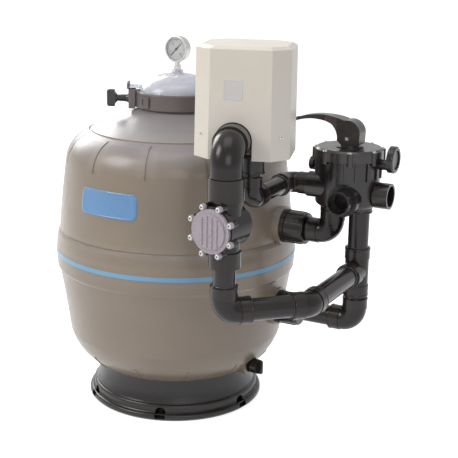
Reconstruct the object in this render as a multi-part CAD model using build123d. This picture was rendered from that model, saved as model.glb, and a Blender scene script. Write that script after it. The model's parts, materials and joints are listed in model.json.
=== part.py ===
from build123d import *
import math
import os

# Pond bead filter: a moulded tank on a round stand, with a lever-handled
# multiport valve and an air blower that stirs the beads before a backwash.
# Millimetres, +Z up. The tank axis is Z, the origin lies in the plane of the
# stand's foot, and +X runs out along the two tank ports.

# Tank: radii are steps in from the belly, heights are above the slab
TANK_R = 302.0            # belly, at the coloured band
WALL = 6.0                # moulded tank wall
BELLY_Z = 390.0
FOOT_IN, FOOT_Z = 94.0, 101.0
KNUCKLE_IN, KNUCKLE_Z = 57.0, 134.0
HIP_IN, HIP_Z = 32.5, 182.0
FLANK_IN, FLANK_Z = 21.0, 262.0
HEM_IN, HEM_DROP, HEM_RISE = 7.5, 46.0, 8.0     # step under the band
WAIST_IN, WAIST_RISE = 5.0, 46.0                # groove above the band
CHEST_IN, CHEST_Z = 14.7, 512.0
SHOULDER_IN, SHOULDER_Z = 28.0, 622.0
BROW_IN, BROW_Z = 42.0, 656.0
EAVE_IN, EAVE_Z = 70.0, 681.0
CROWN_IN, CROWN_Z = 87.0, 690.0
NECK_R, NECK_Z = 84.0, 745.0
SEAM_R = 3.0              # radius of the seam grooves
WAIST_GROOVE = 2.0
CREASES, CREASE_W, CREASE_D = 12, 5.0, 1.6
FOOT_RIBS, RIB_W, RIB_PROUD, RIB_H = 12, 4.0, 1.6, 38.0
BAND_H, BAND_PROUD, BAND_DEEP = 11.0, 0.8, 1.5
FOOT_R, CROWN_R = TANK_R - FOOT_IN, TANK_R - CROWN_IN

# Stand
STAND_OUT, STAND_WALL = 15.0, 6.0
LIP_H, STEP_H = 11.0, 34.0          # outer lip and the ridge above it
SEAT_IN, SEAT_W = 11.5, 17.0        # ring that the tank rests on
BOLT_COUNT, BOLT_IN, BOLT_HOLE = 6, 21.0, 13.0
BOLT_START = -70.0        # degrees from +X to the first anchor bolt
BOLT_POCKET = 13.0        # radius of the pocket over each bolt
STAND_R = FOOT_R + STAND_OUT
BOLT_CIRCLE_R = STAND_R - BOLT_IN

# Pipework: nominal 1-1/4, 1-1/2 and 2 inch
PIPE_OD, PIPE_ID = 48.3, 40.9
HUB_OD, BODY_OD = 59.0, 56.0
BEND_R = 31.0
STOP = 32.0               # corner of a 90 degree elbow to its pipe stop
SOCKET = 26.0             # depth of a socket
FIT = 0.05                # radial clearance of a glued or sliding fit
AIR_OD, AIR_ID = 42.2, 35.0
AIR_HUB, AIR_BODY, AIR_BEND, AIR_STOP, AIR_SOCKET = 52.0, 49.0, 27.0, 28.0, 22.0
BIG_OD, BIG_ID = 60.3, 52.5
BIG_HUB, BIG_BODY, BIG_BEND, BIG_STOP, BIG_SOCKET = 76.0, 68.0, 38.0, 40.0, 30.0

# Tank ports
UPPER_PORT_Z, LOWER_PORT_Z = 482.0, 275.0
PORT_PAD_R = 46.0
UPPER_PAD_OUT, LOWER_PAD_OUT = 1.0, -8.0        # pad faces, out from the belly
UPPER_INSIDE, LOWER_INSIDE = 32.0, 38.0         # pad face to the inner flange face
FLANGE_IN = 8.0           # thickness of the inner flange
LOCK_RING, LOCK_RING_T = 5.0, 9.0               # outside lock ring: smaller than the pad, thickness
THREAD_WALL = 4.0         # thread outside the pipe size
THREAD_OUT = 21.0         # tank fitting beyond the pad
COLLAR = 8.0              # collar of the union tail
NUT_L, NUT_IN, NUT_RIBS = 50.0, 8.0, 10
UPPER_PAD_X, LOWER_PAD_X = TANK_R + UPPER_PAD_OUT, TANK_R + LOWER_PAD_OUT
UPPER_INNER_X, LOWER_INNER_X = UPPER_PAD_X - UPPER_INSIDE, LOWER_PAD_X - LOWER_INSIDE

# Strainers and beads
DIFFUSER_R, DIFFUSER_WALL, DIFFUSER_L = 36.0, 4.0, 335.0
SLOT_W, SLOT_PITCH, SLOT_COUNT = 3.0, 11.0, 5
LATERAL_R, LATERAL_L, LATERAL_UP, LATERALS = 13.0, 180.0, 40.0, 6
FEED_R, FEED_WALL = 22.0, 4.0
BED_GAP, BED_CLEAR = 0.5, 9.0

# Multiport valve
VALVE_OUT = 154.0         # valve axis out from the upper pad
VALVE_PORT_SPREAD = 33.0  # bottom ports each side of the valve axis
PORT_RISE = 104.0         # side ports above the upper tank port
VALVE_R, VALVE_WALL = 74.0, 8.0
BOWL_LOW, BOWL_FLOOR, BOWL_DEPTH = 30.0, 29.0, 61.0
SOCKET_DROP = 44.0        # faces of the two bottom sockets
VALVE_REACH = 106.0       # axis to the face of a side socket
VALVE_HUB_OD = 60.0
FRONT_SIDE, FRONT_DROP = 19.0, 6.0              # front port beside and below the right one
FRONT_HUB_OD, FRONT_HUB_REACH, FRONT_STUB_OD = 72.0, 80.0, 56.0
LEFT_SIDE, LEFT_RISE, LEFT_HUB_REACH = -38.0, 16.0, 80.0
CHANNEL_R, DRILL_R, LEFT_CHANNEL_R = 18.0, 5.0, 9.0
RISER_BORE_R = 15.0
BODY_RIBS, BODY_RIB_W = 16, 4.0
LID_R, LID_T, LID_EDGE = 80.0, 18.0, 10.0
LUGS, LUG_R, LUG_IN = 8, 7.0, 3.0
STEM_BOSS_R, STEM_R, STEM_TOP = 32.0, 9.0, 9.0
GASKET_T, ROTOR_T, ROTOR_GAP = 2.0, 9.0, 1.0
SLIP_T, SLIP_R = 3.0, 22.0
PIN_UP, PIN_R = 15.0, 4.0                       # handle pin above the slip washer
HANDLE_W, ARM_W, HANDLE_REACH, HANDLE_GAP = 40.0, 26.0, 137.0, 0.4
SPRING_R, SPRING_WIRE, SPRING_TURNS, SPRING_GAP = 30.0, 3.0, 5, 0.5
SIGHT_DROP, SIGHT_BOSS_R, SIGHT_CAP_RISE = 18.0, 12.0, 14.0
SIGHT_R, SIGHT_T = 31.0, 15.0
PLUG_R, PLUG_T, PLUG_REACH, PLUG_DROP = 16.0, 12.0, 82.0, 32.0

# Lid, clamp and gauge
NECK_H = 18.0             # neck top above the crown
FLANGE_R, FLANGE_T = 95.0, 8.0
CLAMP_OUT, CLAMP_H, CLAMP_WALL, CLAMP_LIP = 6.0, 40.0, 3.0, 2.5
LID_RISE, LID_WALL, DOME_IN = 44.0, 4.0, 3.0
GAUGE_BOSS_R, GAUGE_STEM_R = 14.0, 7.0
CLAMP_ANGLE = 208.0       # where the band is split, degrees from +X
SPLIT_W, EAR_T, EAR_OUT = 12.0, 9.0, 11.0
SADDLE_T, SADDLE_GAP, SADDLE_TALL = 6.0, 1.0, 6.0
BOSS_ANGLE, BOSS_W, BOSS_H, BOSS_PROUD = -109.0, 28.0, 25.0, 4.0
TAB_W, TAB_T, TAB_UP = 36.0, 4.0, 9.0           # lifting tab of the lid
CLAMP_BOLT_R, CLAMP_BOLT_L = 5.0, 62.0
KNOB_HUB_R, KNOB_HUB_L, KNOB_T, KNOB_W, KNOB_H = 9.0, 32.0, 26.0, 15.0, 42.0
GAUGE_RISE, GAUGE_R, GAUGE_T = 58.0, 32.0, 26.0
GAUGE_FACING = -95.0      # compass of the dial's outward normal from +X
BEZEL, DIAL_DEEP, DIAL_T = 4.0, 7.0, 1.2
NEEDLE_T, NEEDLE_L, NEEDLE_W = 0.8, 24.0, 1.6
NEEDLE_TAIL = 12.0

# Blower
HOUSE_TURN = 18.0         # front face turned about Z
HOUSE_W, HOUSE_D, HOUSE_H = 204.0, 186.0, 234.0
BLOWER_RISE = 118.0       # housing above the valve's side ports
HOUSE_CHAMFER, HOUSE_WALL, HOUSE_DRAFT = 36.0, 3.0, 0.5
CROWN_RISE, CROWN_INSET = 6.0, 10.0
HOUSE_SIDE = 13.0         # housing centre to the right of the outlet
SUPPORT_SIDE = 12.0       # support pipe to the right of the housing centre
STACK_OFF = 79.0          # outlet stack in front of the housing face
OUTLET_UP = 40.0          # outlet axis above the housing's lower edge
ARCH_R, ARCH_GAP = 38.0, 1.5
PLATE_T = 6.0
HUB_DROP, BLOWER_HUB_OD = 43.0, 62.0            # hub under the base plate
VOLUTE_R, VOLUTE_WALL, VOLUTE_H, VOLUTE_FOOT = 72.0, 4.0, 66.0, 2.0
MOTOR_R, MOTOR_GAP, COWL_H, FINS = 52.0, 28.0, 28.0, 24
SHAFT_R, SHAFT_IN = 7.0, 48.0
IMPELLER_R, IMPELLER_T, IMPELLER_UP, BLADES = 62.0, 26.0, 14.0, 18

# Air stack and check valve
STACK_CLEAR = 114.0       # stack axis in front of the belly
AIR_RISE = 123.0          # air line above the lower tank port
CROSS_RUN = 135.0         # stack to the riser, along the cross pipe's diagonal
CHECK_DROP = 162.0        # drum axis under the outlet axis
CHECK_TURN = -98.0        # compass of the clear cover's normal from +X
CHECK_R, CHECK_FRONT, CHECK_BACK, CHECK_WALL = 43.0, 46.0, 44.0, 6.0
CHECK_FLANGE_R, CHECK_FLANGE_T = 50.0, 8.0
CHECK_PCD, CHECK_SCREWS, CHECK_BOSS_R, SCREW_R = 52.0, 8, 7.0, 2.5
CHECK_UP, CHECK_DOWN, COLLAR_H = 102.0, 85.0, 34.0
COVER_R, COVER_T, COVER_RIM, RIB_T = 46.0, 7.0, 9.0, 2.0
HEAD_R, HEAD_T, SHANK_L = 5.0, 3.2, 16.0
FLAP_R, FLAP_T, SEAT_R = 24.0, 4.0, 22.0
SEAT_UP, FLAP_GAP = 22.0, 0.3                   # flap seat above the drum axis
FLAP_PIVOT_UP, FLAP_PIVOT_BACK, FLAP_PIN_R, BARREL_R, BARREL_L = 15.0, 30.0, 2.5, 5.0, 17.0

# Drain
DRAIN_UP, DRAIN_ANGLE, DRAIN_R = 21.0, -9.0, 14.0
DRAIN_OUT = 32.0          # outer face of the drain boss, out from the foot
DRAIN_BOSS, DRAIN_BOSS_L, DRAIN_INSIDE = 13.0, 36.0, 41.0
DRAIN_RECESS = 2.0        # clear ring round the spigot's flange
SPIGOT_OUT, SPIGOT_FLANGE, SPIGOT_FLANGE_T = 19.0, 5.0, 4.0
WASHER_T, WASHER_W, CAP_GAP, CAP_WALL = 2.0, 7.0, 0.4, 4.0
WING_L, WING_T, WING_H = 15.0, 5.0, 34.0

# Places that follow from the sizes above
VALVE_X = UPPER_PAD_X + VALVE_OUT
VALVE_PORT_Z = UPPER_PORT_Z + PORT_RISE
VALVE_BOTTOM, VALVE_FLOOR = VALVE_PORT_Z - BOWL_LOW, VALVE_PORT_Z + BOWL_FLOOR
VALVE_RIM = VALVE_FLOOR + BOWL_DEPTH
VALVE_SOCKET_Z = VALVE_PORT_Z - SOCKET_DROP
SIGHT_Z = VALVE_RIM - SIGHT_DROP
ROTOR_Z = VALVE_FLOOR + GASKET_T
LID_TOP = VALVE_RIM + LID_T
PIN_Z = LID_TOP + SLIP_T + PIN_UP
LEFT_Z = VALVE_PORT_Z + LEFT_RISE
LID_RIM_Z = NECK_Z + NECK_H
CLAMP_R = FLANGE_R + CLAMP_OUT
DOME_Z = LID_RIM_Z + CLAMP_H / 2
BOSS_Z = DOME_Z + LID_RISE
GAUGE_Z = BOSS_Z + GAUGE_RISE
GAUGE_BACK = -GAUGE_T * 0.62
GAUGE_FRONT = GAUGE_BACK + GAUGE_T
HOUSE_Z = VALVE_PORT_Z + BLOWER_RISE
HOUSE_TOP = HOUSE_Z + HOUSE_H
OUTLET_Z = HOUSE_Z + OUTLET_UP
VOLUTE_Z0 = HOUSE_Z + PLATE_T + VOLUTE_FOOT
VOLUTE_Z1 = VOLUTE_Z0 + VOLUTE_H
MOTOR_TOP = HOUSE_TOP - MOTOR_GAP
CHECK_Z = OUTLET_Z - CHECK_DROP
CHECK_TOP, CHECK_LOW = CHECK_Z + CHECK_UP, CHECK_Z - CHECK_DOWN
CHECK_SPIGOT = OUTLET_Z - BIG_STOP - CHECK_TOP + BIG_SOCKET
AIR_Z = LOWER_PORT_Z + AIR_RISE
RISER_X = VALVE_X + VALVE_PORT_SPREAD
STACK_X, STACK_Y = RISER_X - CROSS_RUN, -TANK_R - STACK_CLEAR
DRAIN_Z, DRAIN_FACE = FOOT_Z + DRAIN_UP, FOOT_R + DRAIN_OUT

UP, DOWN = Vector(0, 0, 1), Vector(0, 0, -1)
XP, XN, YP, YN = Vector(1, 0, 0), Vector(-1, 0, 0), Vector(0, 1, 0), Vector(0, -1, 0)
BASE = (Align.CENTER, Align.CENTER, Align.MIN)
OUTWARD = (Align.MIN, Align.CENTER, Align.CENTER)


def compass(degrees):
    a = math.radians(degrees)
    return Vector(math.cos(a), math.sin(a), 0)


def rod(start, direction, radius, length):
    """Cylinder from a start point along a direction."""
    return Plane(origin=start, z_dir=direction) * Cylinder(radius, length, align=BASE)


def section(start, *moves):
    """Closed face in the XZ plane: a point is a straight run, a (through, end) pair an arc."""
    edges, here = [], start
    for move in moves + (start,):
        if isinstance(move[0], tuple):
            edges.append(ThreePointArc(*[(x, 0, z) for x, z in (here, *move)]))
            here = move[1]
        elif move != here:
            edges.append(Line((here[0], 0, here[1]), (move[0], 0, move[1])))
            here = move
    return make_face(edges)


def spin(*outline):
    """Solid of revolution about Z from a half section."""
    return revolve(section(*outline), axis=Axis.Z)


def ring(z, height, r_out, r_in):
    body = Pos(0, 0, z) * Cylinder(r_out, height, align=BASE)
    return body - Pos(0, 0, z) * Cylinder(r_in, height, align=BASE)


def pipe(start, end, od=PIPE_OD, bore=PIPE_ID):
    run = Vector(*end) - Vector(*start)
    return rod(start, run, od / 2, run.length) - rod(start, run, bore / 2, run.length)


def along(point, direction, distance):
    return tuple(Vector(*point) + direction.normalized() * distance)


def out_at(direction, distance, z):
    return (direction.X * distance, direction.Y * distance, z)


class Size:
    """One nominal size of glued fitting."""

    def __init__(self, od, bore, hub, body, bend, stop, socket):
        self.od, self.bore, self.hub, self.body = od, bore, hub, body
        self.bend, self.stop, self.socket = bend, stop, socket


SMALL = Size(PIPE_OD, PIPE_ID, HUB_OD, BODY_OD, BEND_R, STOP, SOCKET)
AIR = Size(AIR_OD, AIR_ID, AIR_HUB, AIR_BODY, AIR_BEND, AIR_STOP, AIR_SOCKET)
BIG = Size(BIG_OD, BIG_ID, BIG_HUB, BIG_BODY, BIG_BEND, BIG_STOP, BIG_SOCKET)


def stop_at(turn, size=SMALL):
    """Corner to pipe stop of an elbow that turns by so many degrees."""
    return size.bend * math.tan(math.radians(turn / 2)) + size.stop - size.bend


def elbow(corner, leg_a, leg_b, size=SMALL, spigot_b=0.0):
    """Elbow with two sockets, or a spigot of the given length on leg b."""
    turn = 180 - leg_a.get_angle(leg_b)
    tangent = size.bend * math.tan(math.radians(turn / 2))
    stop = stop_at(turn, size)
    face = stop + size.socket
    frame = Plane(origin=corner, x_dir=leg_a, z_dir=leg_a.cross(leg_b))
    local_b = Vector(math.cos(math.radians(180 - turn)), math.sin(math.radians(180 - turn)), 0)
    pivot = Axis((tangent, size.bend, 0), (0, 0, -1))

    def bend(radius):
        circle = Plane(origin=(tangent, 0, 0), z_dir=(1, 0, 0)) * Circle(radius)
        return revolve(circle, axis=pivot, revolution_arc=turn)

    def leg(direction, radius, start, end):
        return rod(tuple(direction * start), direction, radius, end - start)

    solid = bend(size.body / 2)
    solid += leg(XP, size.body / 2, tangent, stop) + leg(XP, size.hub / 2, stop, face)
    hole = bend(size.bore / 2)
    hole += leg(XP, size.bore / 2, tangent, stop) + leg(XP, size.od / 2 + FIT, stop, face)
    if spigot_b:
        solid += leg(local_b, size.body / 2, tangent, stop + spigot_b - size.socket - 1)
        solid += leg(local_b, size.od / 2, stop, stop + spigot_b)
        hole += leg(local_b, size.bore / 2, tangent, stop + spigot_b)
    else:
        solid += leg(local_b, size.body / 2, tangent, stop)
        solid += leg(local_b, size.hub / 2, stop, face)
        hole += leg(local_b, size.bore / 2, tangent, stop)
        hole += leg(local_b, size.od / 2 + FIT, stop, face)
    return frame * (solid - hole)


def tee(corner, run, branch, size=SMALL):
    """Tee with three sockets; the branch bore is a little tighter than the run."""
    face = size.stop + size.socket
    low = along(corner, run, -face)
    solid = rod(low, run, size.body / 2, 2 * face)
    solid += rod(corner, branch, size.body / 2 - 1, face)
    hole = rod(low, run, size.bore / 2, 2 * face)
    hole += rod(corner, branch, size.bore / 2 - 1, face)
    for leg in (run, -run, branch):
        mouth = along(corner, leg, size.stop)
        solid += rod(mouth, leg, size.hub / 2, size.socket)
        hole += rod(mouth, leg, size.od / 2 + FIT, size.socket)
    return solid - hole


# Stand, tank and band

def stand_outline():
    """Stepped and flared outside of the stand, from the slab up to the tank."""
    seat = FOOT_R - SEAT_IN
    r = STAND_R
    return [
        (0, 0), (r - 5, 0), (r, 5), (r, LIP_H), ((r - 2, LIP_H + 4), (r - 9, LIP_H + 6)),
        (r - 11, LIP_H + 8), (r - 11, STEP_H - 3), ((r - 12.5, STEP_H + 1), (r - 17, STEP_H + 4)),
        (r - 19, STEP_H + 7), ((r - 25, STEP_H + 28), (seat - 1, FOOT_Z - 18)), (seat, FOOT_Z), (0, FOOT_Z)]


def base_stand():
    """Open-bottomed flared stand with a stepped rim and six bolt pockets."""
    w = STAND_WALL
    seat, r = FOOT_R - SEAT_IN, STAND_R
    solid = spin(*stand_outline())
    cavity = spin(
        (0, w), (r - w, w), (r - w, LIP_H - 2), (r - 11 - w, LIP_H + 6), (r - 11 - w, STEP_H - 6),
        (r - 19 - w, STEP_H + 4), ((r - 25 - w, STEP_H + 26), (seat - 1 - w, FOOT_Z - 18)),
        (seat - w, FOOT_Z - w), (0, FOOT_Z - w))
    stand = solid - cavity - Cylinder(BOLT_CIRCLE_R - BOLT_POCKET, w, align=BASE)
    stand -= Pos(0, 0, FOOT_Z - w) * Cylinder(seat - SEAT_W, w, align=BASE)
    for i in range(BOLT_COUNT):
        at = compass(BOLT_START + i * 360 / BOLT_COUNT)
        x, y = at.X * BOLT_CIRCLE_R, at.Y * BOLT_CIRCLE_R
        top = w + 2 * BOLT_POCKET
        stand += solid & rod((x, y, 0), UP, BOLT_POCKET + 4, top + 4)
        stand -= rod((x, y, w), UP, BOLT_POCKET, BOLT_POCKET)
        stand -= rod((x, y, w + BOLT_POCKET), at, BOLT_POCKET, STAND_R)
        stand -= Pos(x, y, w + BOLT_POCKET) * Sphere(BOLT_POCKET)
        stand -= Plane(origin=(x, y, w), x_dir=at, z_dir=UP) * Box(
            STAND_R, 2 * BOLT_POCKET, BOLT_POCKET, align=(Align.MIN, Align.CENTER, Align.MIN))
        stand -= rod((x, y, 0), UP, BOLT_HOLE / 2, w)
    return stand


def tank_outline(t=0.0):
    """Half section of the tank below its neck, moved inward by t."""
    r = TANK_R - t
    return [
        (0, FOOT_Z + t), (r - FOOT_IN, FOOT_Z + t),
        ((r - KNUCKLE_IN + 0.3 * t, KNUCKLE_Z + 0.7 * t), (r - HIP_IN, HIP_Z)),
        ((r - FLANK_IN, FLANK_Z), (r - HEM_IN, BELLY_Z - HEM_DROP)),
        (r - 2, BELLY_Z - HEM_DROP + HEM_RISE),
        ((r, BELLY_Z), (r - WAIST_IN, BELLY_Z + WAIST_RISE)),
        (r - WAIST_IN - 4, BELLY_Z + WAIST_RISE + 10),
        ((r - CHEST_IN, CHEST_Z), (r - SHOULDER_IN, SHOULDER_Z)),
        ((r - BROW_IN + 0.3 * t, BROW_Z - 0.7 * t), (r - EAVE_IN + 0.5 * t, EAVE_Z - 0.9 * t)),
        (r - CROWN_IN + 0.7 * t, CROWN_Z - t), (NECK_R + 12 - t, NECK_Z - 5 - t)]


def skin_strip(inner, outer, z0, z1, width, count, start):
    """Strips that follow the tank's outside between two depths and two heights."""
    band = spin(*tank_outline(-outer), (0, NECK_Z)) - spin(*tank_outline(inner), (0, NECK_Z - inner))
    band &= Pos(0, 0, z0) * Cylinder(TANK_R + 10, z1 - z0, align=BASE)
    strips = Rot(0, 0, start) * Pos(0, 0, z0) * Box(
        TANK_R + 10, width, z1 - z0, align=(Align.MIN, Align.CENTER, Align.MIN))
    for i in range(1, count):
        strips += Rot(0, 0, start + i * 360 / count) * Pos(0, 0, z0) * Box(
            TANK_R + 10, width, z1 - z0, align=(Align.MIN, Align.CENTER, Align.MIN))
    return band & strips


def port_pad(inner_x, pad_x, z):
    """Thick round boss moulded through the wall, flat on both sides."""
    return rod((inner_x + FLANGE_IN, 0, z), XP, PORT_PAD_R, pad_x - inner_x - FLANGE_IN)


def tank_vessel():
    """Rotationally moulded tank with seams, creases, port pads and a neck flange."""
    seat = LID_RIM_Z
    outer = spin(
        *tank_outline(), (NECK_R + 6, NECK_Z), (NECK_R + 6, seat - FLANGE_T - 3),
        (FLANGE_R - 4, seat - FLANGE_T), (FLANGE_R, seat - 4), (FLANGE_R, seat), (0, seat))
    hollow = spin(*tank_outline(WALL), (NECK_R - WALL, NECK_Z), (NECK_R - WALL, seat), (0, seat))
    shell = outer - hollow
    drain = compass(DRAIN_ANGLE)
    shell += port_pad(UPPER_INNER_X, UPPER_PAD_X, UPPER_PORT_Z)
    shell += port_pad(LOWER_INNER_X, LOWER_PAD_X, LOWER_PORT_Z)
    boss = rod(out_at(drain, DRAIN_FACE - DRAIN_BOSS_L, DRAIN_Z), drain, DRAIN_R + DRAIN_BOSS, DRAIN_BOSS_L)
    shell += boss & (Pos(0, 0, FOOT_Z) * Cylinder(TANK_R, 3 * DRAIN_BOSS_L, align=BASE))
    shell += skin_strip(1, RIB_PROUD, FOOT_Z + 4, FOOT_Z + RIB_H, RIB_W, FOOT_RIBS, 7)
    shell -= rod(out_at(drain, DRAIN_FACE - DRAIN_BOSS_L - WALL, DRAIN_Z), drain, DRAIN_R + FIT, TANK_R)
    shell -= rod(out_at(drain, DRAIN_FACE, DRAIN_Z), drain, DRAIN_R + SPIGOT_FLANGE + DRAIN_RECESS, TANK_R)
    for x, z in ((UPPER_INNER_X, UPPER_PORT_Z), (LOWER_INNER_X, LOWER_PORT_Z)):
        shell -= rod((x, 0, z), XP, PIPE_OD / 2 + THREAD_WALL, TANK_R)
    shell -= ring(BELLY_Z - BAND_H / 2, BAND_H, TANK_R + 5, TANK_R - BAND_DEEP)
    shell -= Pos(0, 0, CROWN_Z) * Torus(CROWN_R, SEAM_R)
    shell -= Pos(0, 0, BELLY_Z + WAIST_RISE + 10) * Torus(TANK_R - WAIST_IN - 4, WAIST_GROOVE)
    return shell - skin_strip(CREASE_D, 1, SHOULDER_Z - 8, EAVE_Z + 3, CREASE_W, CREASES, 15)


def blue_band():
    return ring(BELLY_Z - BAND_H / 2, BAND_H, TANK_R + BAND_PROUD, TANK_R - BAND_DEEP)


# Tank ports

def bulkhead(inner_x, pad_x, z):
    """Threaded tank fitting: inner flange, body through the wall, lock ring outside."""
    start = (inner_x, 0, z)
    reach = pad_x + THREAD_OUT - inner_x
    body = rod(start, XP, PORT_PAD_R - 4, FLANGE_IN)
    body += rod(start, XP, PIPE_OD / 2 + THREAD_WALL - FIT, reach)
    body += rod((pad_x, 0, z), XP, PORT_PAD_R - LOCK_RING, LOCK_RING_T)
    return body - rod(start, XP, PIPE_ID / 2, reach)


def union_tail(pad_x, z, end_x):
    """Tail pipe with the collar that the union nut holds."""
    start = (pad_x + THREAD_OUT, 0, z)
    tail = rod(start, XP, PIPE_OD / 2 + THREAD_WALL - FIT, COLLAR)
    tail += rod(start, XP, PIPE_OD / 2, end_x - start[0])
    return tail - rod(start, XP, PIPE_ID / 2, end_x - start[0])


def union_nut(pad_x, z):
    """Ribbed union nut that draws the tail against the tank fitting."""
    face = pad_x + LOCK_RING_T
    r = PORT_PAD_R - NUT_IN
    nut = rod((face, 0, z), XP, r, NUT_L)
    nut = fillet(nut.edges().filter_by(GeomType.CIRCLE).sort_by(Axis.X)[-1], 4)
    for i in range(NUT_RIBS):
        rib = Box(NUT_L - 12, 5, 8, align=OUTWARD)
        nut += Pos(face + 3, 0, z) * Rot(i * 360 / NUT_RIBS, 0, 0) * Pos(0, r - 1, 0) * rib
    nut -= rod((face, 0, z), XP, PIPE_OD / 2 + THREAD_WALL + FIT, THREAD_OUT - LOCK_RING_T + COLLAR)
    return nut - rod((face, 0, z), XP, PIPE_OD / 2 + FIT, NUT_L)


# Strainers and beads inside the tank

def upper_diffuser():
    """Slotted basket on the upper port that keeps the beads in."""
    end, w = UPPER_INNER_X, DIFFUSER_WALL
    start = end - DIFFUSER_L
    body = rod((start, 0, UPPER_PORT_Z), XP, DIFFUSER_R, DIFFUSER_L)
    body -= rod((start + w, 0, UPPER_PORT_Z), XP, DIFFUSER_R - w, DIFFUSER_L - 2 * w)
    body -= rod((end - 2 * w, 0, UPPER_PORT_Z), XP, PIPE_ID / 2, 2 * w)
    slot = Box(DIFFUSER_L * 0.6, 3 * DIFFUSER_R, SLOT_W)
    for i in range(SLOT_COUNT):
        rise = (i - (SLOT_COUNT - 1) / 2) * SLOT_PITCH
        body -= Pos(end - DIFFUSER_L / 2, 0, UPPER_PORT_Z + rise) * slot
    return body


def lower_laterals():
    """Cross of tubes near the floor, fed from the lower port."""
    z, r = FOOT_Z + LATERAL_UP, FEED_R - FEED_WALL
    arms = rod((0, 0, z - FEED_R - 2), UP, 2 * FEED_R - 4, 2 * FEED_R + 4)
    for i in range(LATERALS):
        arms += rod((0, 0, z), compass(30 + i * 360 / LATERALS), LATERAL_R, LATERAL_L)
    feed = rod((0, 0, z), UP, FEED_R, LOWER_PORT_Z - z) + rod((0, 0, LOWER_PORT_Z), XP, FEED_R, LOWER_INNER_X)
    feed += Pos(0, 0, LOWER_PORT_Z) * Sphere(FEED_R)
    feed -= rod((FEED_R, 0, LOWER_PORT_Z), XP, r, LOWER_INNER_X - FEED_R)
    return arms + feed - rod((0, 0, z), UP, r, LOWER_PORT_Z - z)


def bead_bed():
    """Settled plastic beads between the two strainers."""
    low, high = LOWER_PORT_Z + PORT_PAD_R, UPPER_PORT_Z - PORT_PAD_R - BED_CLEAR
    inside = spin(*tank_outline(WALL + BED_GAP), (0, NECK_Z - WALL))
    return inside & Pos(0, 0, low) * Cylinder(TANK_R, high - low, align=BASE)


# Lid, clamp, gauge

def dome(t=0.0):
    """Half section of the shallow dome above the clamp, moved in by t."""
    r, z = FLANGE_R - DOME_IN - t, DOME_Z - t
    return [(r, z), ((r - 6, z + LID_RISE * 0.32), (r - 20, z + LID_RISE * 0.6)),
            ((r - 46, z + LID_RISE * 0.85), (GAUGE_BOSS_R + 8, z + LID_RISE * 0.96))]


def filter_lid():
    """Clear domed lid with a clamping flange, a gauge boss and a lifting tab."""
    z, r = LID_RIM_Z, FLANGE_R - DOME_IN
    outside = [(0, z), (FLANGE_R, z), (FLANGE_R, z + 4), (r, z + FLANGE_T), *dome(),
               (GAUGE_BOSS_R, BOSS_Z), (GAUGE_BOSS_R, BOSS_Z + 8), (0, BOSS_Z + 8)]
    inside = [(0, z), (r - LID_WALL, z), *dome(LID_WALL), (0, BOSS_Z - LID_WALL)]
    out = compass(CLAMP_ANGLE)
    reach = CLAMP_R + EAR_OUT + SADDLE_T
    frame = Plane(origin=out_at(out, r * 0.8, DOME_Z + TAB_UP), x_dir=out, z_dir=UP)
    tab = Box(reach - r * 0.8 + 2, TAB_W, TAB_T, align=OUTWARD)
    tab -= Pos(r * 0.8 - 48, 0, 0) * Box(14, TAB_W - 14, 3 * TAB_T, align=OUTWARD)
    tab += Pos(reach - r * 0.8, 0, 3) * Box(TAB_T, TAB_W, 16, align=OUTWARD)
    lid = spin(*outside) + frame * tab
    return lid - spin(*inside) - rod((0, 0, BOSS_Z - 2 * LID_WALL), UP, GAUGE_STEM_R + FIT, 20)


def clamp_frame(z=LID_RIM_Z):
    return Plane(origin=(0, 0, z), x_dir=compass(CLAMP_ANGLE), z_dir=UP)


def clamp_band():
    """Split band with a V inside that holds the lid flange to the neck flange."""
    z, t, half = LID_RIM_Z, CLAMP_WALL, CLAMP_H / 2
    f, r = FLANGE_T, FLANGE_R + 0.3
    lip = r - CLAMP_LIP
    band = spin(
        (CLAMP_R, z - half + 3), (CLAMP_R, z + half - 3), ((CLAMP_R - 1, z + half - 1), (CLAMP_R - 3, z + half)),
        (lip, z + half), (lip, z + half - t), (r, z + half - t), (r, z + f + 4), (r - 1.6, z + f + 1.2),
        (r + 0.2, z + 4.6), (r + 0.2, z - 4), (r - 3, z - f - 0.6), (r, z - f - 4), (r, z - half + t),
        (r - 2, z - half + t), (r - 2, z - half), (CLAMP_R - 3, z - half))
    for side in (-1, 1):
        ear = Box(EAR_OUT + 4, EAR_T, CLAMP_H, align=OUTWARD)
        band += clamp_frame() * Pos(CLAMP_R - 4, side * (SPLIT_W + EAR_T) / 2, 0) * ear
    boss = Pos(CLAMP_R - 4, 0, 0) * Box(4 + BOSS_PROUD, BOSS_W, BOSS_H, align=OUTWARD)
    boss -= Pos(CLAMP_R + BOSS_PROUD - 1.5, 0, 0) * Box(4, BOSS_W - 10, BOSS_H - 10, align=OUTWARD)
    band += Plane(origin=(0, 0, z), x_dir=compass(BOSS_ANGLE), z_dir=UP) * boss
    return band - clamp_frame() * Pos(CLAMP_R - 12, 0, 0) * Box(60, SPLIT_W, CLAMP_H + 1, align=OUTWARD)


SADDLE_X = CLAMP_R + EAR_OUT + SADDLE_GAP       # inner face of the saddle's bridge
SADDLE_W = SPLIT_W + 2 * EAR_T + 2 * SADDLE_GAP


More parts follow.
